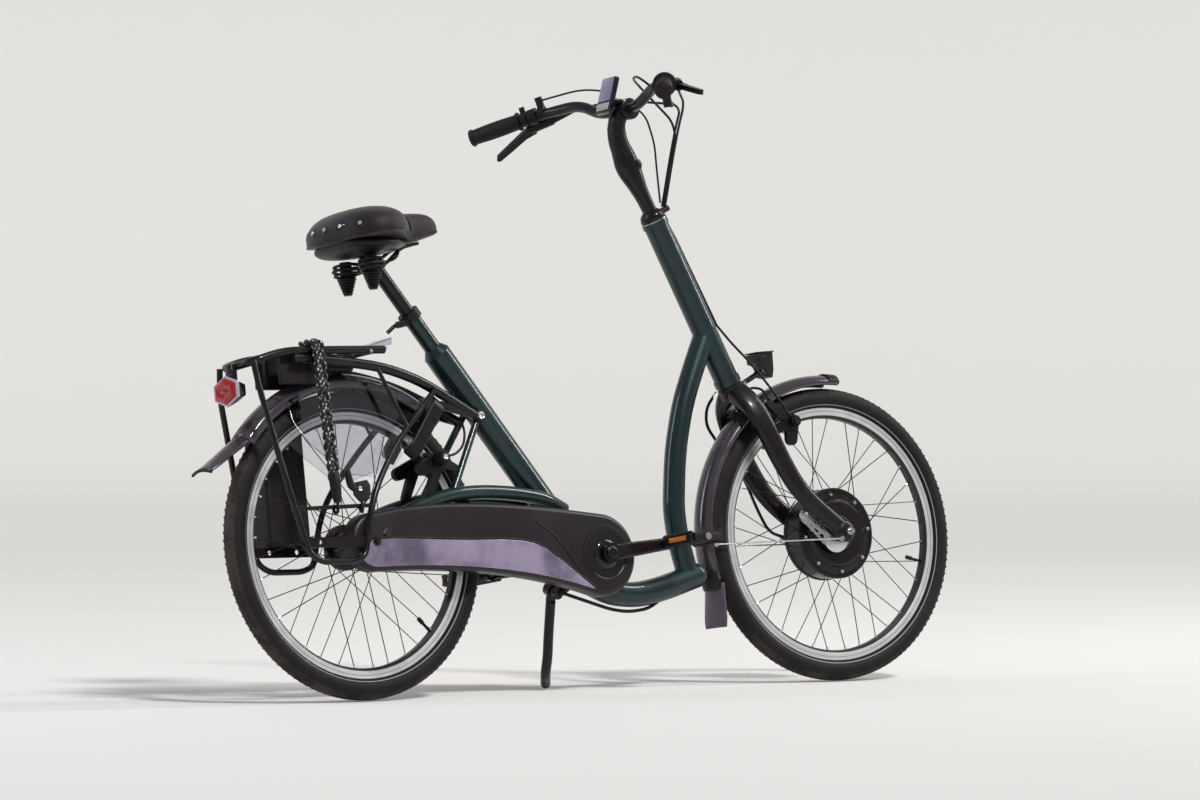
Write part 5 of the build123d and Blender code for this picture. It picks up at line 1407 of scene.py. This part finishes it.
def makeFittings():
    bm = bmesh.new()
    for side in (-1, 1):
        for centre, size, bevel in fittings["cheeks"]:
            addBlock(bm, mirrorY(centre, side), size, bevel=bevel)
    addPlate(bm, fittings["hookPlate"], *fittings["hookSide"], 1.6, 3)
    addSweep(bm, fittings["hookNeck"], 16, 0.9, side=(0, 1, 0), steps=2)
    addSpin(bm, fittings["boss"], fittings["bossAt"], (0, -1, 0), 32)
    addTube(bm, fittings["hook"], fittings["hookWire"])
    finishPiece(bm, "rackFittings", "frame", "mattePlastic")
    bm = bmesh.new()
    for i, (at, radius, height) in enumerate(fittings["bolts"]):
        addBolt(bm, at, (0, -1, 0), radius, height)
        if i < 2:
            addBolt(bm, mirrorY(at, -1), (0, 1, 0), radius, height)
    finishPiece(bm, "frameBolts", "frame", "alloy")


def makeClipSpring():
    bm = bmesh.new()
    x, z = clip["coilAt"]
    count = clip["coilTurns"] * 12
    coil = []
    for i in range(count + 1):
        turn = math.tau * i / 12
        y = clip["coilHalf"] * (2 * i / count - 1)
        coil.append((x + clip["coil"] * math.cos(turn), y, z + clip["coil"] * math.sin(turn)))
    addTube(bm, coil, clip["wire"], sides=1)
    finishPiece(bm, "clipSpring", "frame", "darkSteel")


def makeBatteryRibs():
    bm = bmesh.new()
    for z in fittings["batteryBands"]:
        addBlock(bm, (-101, 128.2, z), (70, 1.4, 5), bevel=0.6)
    addBlock(bm, (-101, 94, 246), (60, 18, 6), bevel=2)
    for x in fittings["batteryFeet"]:
        addBlock(bm, (x, 128.4, 30), (4, 1.6, 26), bevel=0.6)
    finishPiece(bm, "batteryRibs", "frame", "mattePlastic")


makeCoatGuards()
makeClip()
makeFittings()
makeClipSpring()
makeBatteryRibs()
print("rack dressed")

# Stage: a pale floor that curves up into a wall at both ends, a soft sun and two long strip lamps
stage = {
    "colour": (0.70, 0.695, 0.685), "back": 18.0, "front": 38.0, "curve": 8.0, "reach": 60.0, "wall": 20.0,
    "drop": 0.0015, "rows": 240, "world": (0.95, 0.96, 1.0), "worldStrength": 0.36,
}
lamps = {
    "sun": {"kind": "SUN", "aim": (0.42, -0.50, 0.76), "strength": 2.4, "angle": 9.0,
            "colour": (1.0, 0.975, 0.94)},
    "strip": {"kind": "AREA", "aim": (0.80, 0.26, 0.55), "strength": 165.0, "away": 6.5, "size": (0.4, 3.6),
              "colour": (1.0, 0.99, 0.97)},
    "side": {"kind": "AREA", "aim": (-0.86, -0.25, 0.44), "strength": 50.0, "away": 5.0, "size": (0.9, 3.2),
             "colour": (0.93, 0.95, 1.0)},
}


def makeBackdrop(look):
    bm = bmesh.new()
    lift = look["curve"] * math.pi / 2

    def place(u, v):
        run = u * (look["front"] + look["back"] + 2 * lift + look["wall"]) - look["front"] - lift
        edge = look["back"] if run > 0 else look["front"]
        past = abs(run) - edge
        out, up = abs(run), 0.0
        if past > 0:
            angle = min(past / look["curve"], math.pi / 2)
            out = edge + look["curve"] * math.sin(angle)
            up = look["curve"] * (1 - math.cos(angle)) + max(0.0, past - lift)
        return Vector(((v - 0.5) * 2 * look["reach"], math.copysign(out, run), up - look["drop"]))
    addSheet(bm, place, look["rows"], 2)
    bm.transform(Matrix.Rotation(math.radians(camera["azimuth"]), 4, "Z"))
    mesh = bpy.data.meshes.new("backdrop")
    bm.to_mesh(mesh)
    bm.free()
    mesh.polygons.foreach_set("use_smooth", [True] * len(mesh.polygons))
    backdrop = bpy.data.objects.new("backdrop", mesh)
    bpy.context.scene.collection.objects.link(backdrop)
    material, tree, shader, where = startMaterial("backdrop")
    patch = noiseNode(tree, where, 0.35, 2.0)
    second = tuple(c * 0.985 for c in look["colour"])
    setInputs(tree, shader, {
        "Base Color": mixColour(tree, patch, look["colour"], second),
        "Roughness": 0.9, "Specular IOR Level": 0.1,
    })
    mesh.materials.append(material)


def makeLights(look):
    world = bpy.data.worlds.new("studio")
    bpy.context.scene.world = world
    world.use_nodes = True
    background = world.node_tree.nodes["Background"]
    background.inputs["Color"].default_value = (*look["world"], 1)
    background.inputs["Strength"].default_value = look["worldStrength"]
    turn = Matrix.Rotation(math.radians(camera["azimuth"]), 3, "Z")
    for name, one in lamps.items():
        data = bpy.data.lights.new(name, one["kind"])
        data.energy = one["strength"]
        data.color = one["colour"]
        if one["kind"] == "SUN":
            data.angle = math.radians(one["angle"])
        else:
            data.shape = "RECTANGLE"
            data.size, data.size_y = one["size"]
        made = bpy.data.objects.new(name, data)
        bpy.context.scene.collection.objects.link(made)
        aim = (turn @ Vector(one["aim"])).normalized()
        made.matrix_world = lookAlong(aim * one.get("away", 6.0) + Vector((0, 0, 0.5)), aim)


makeBackdrop(stage)
makeLights(stage)
bpy.context.scene.view_settings.view_transform = "Standard"
print("stage made")
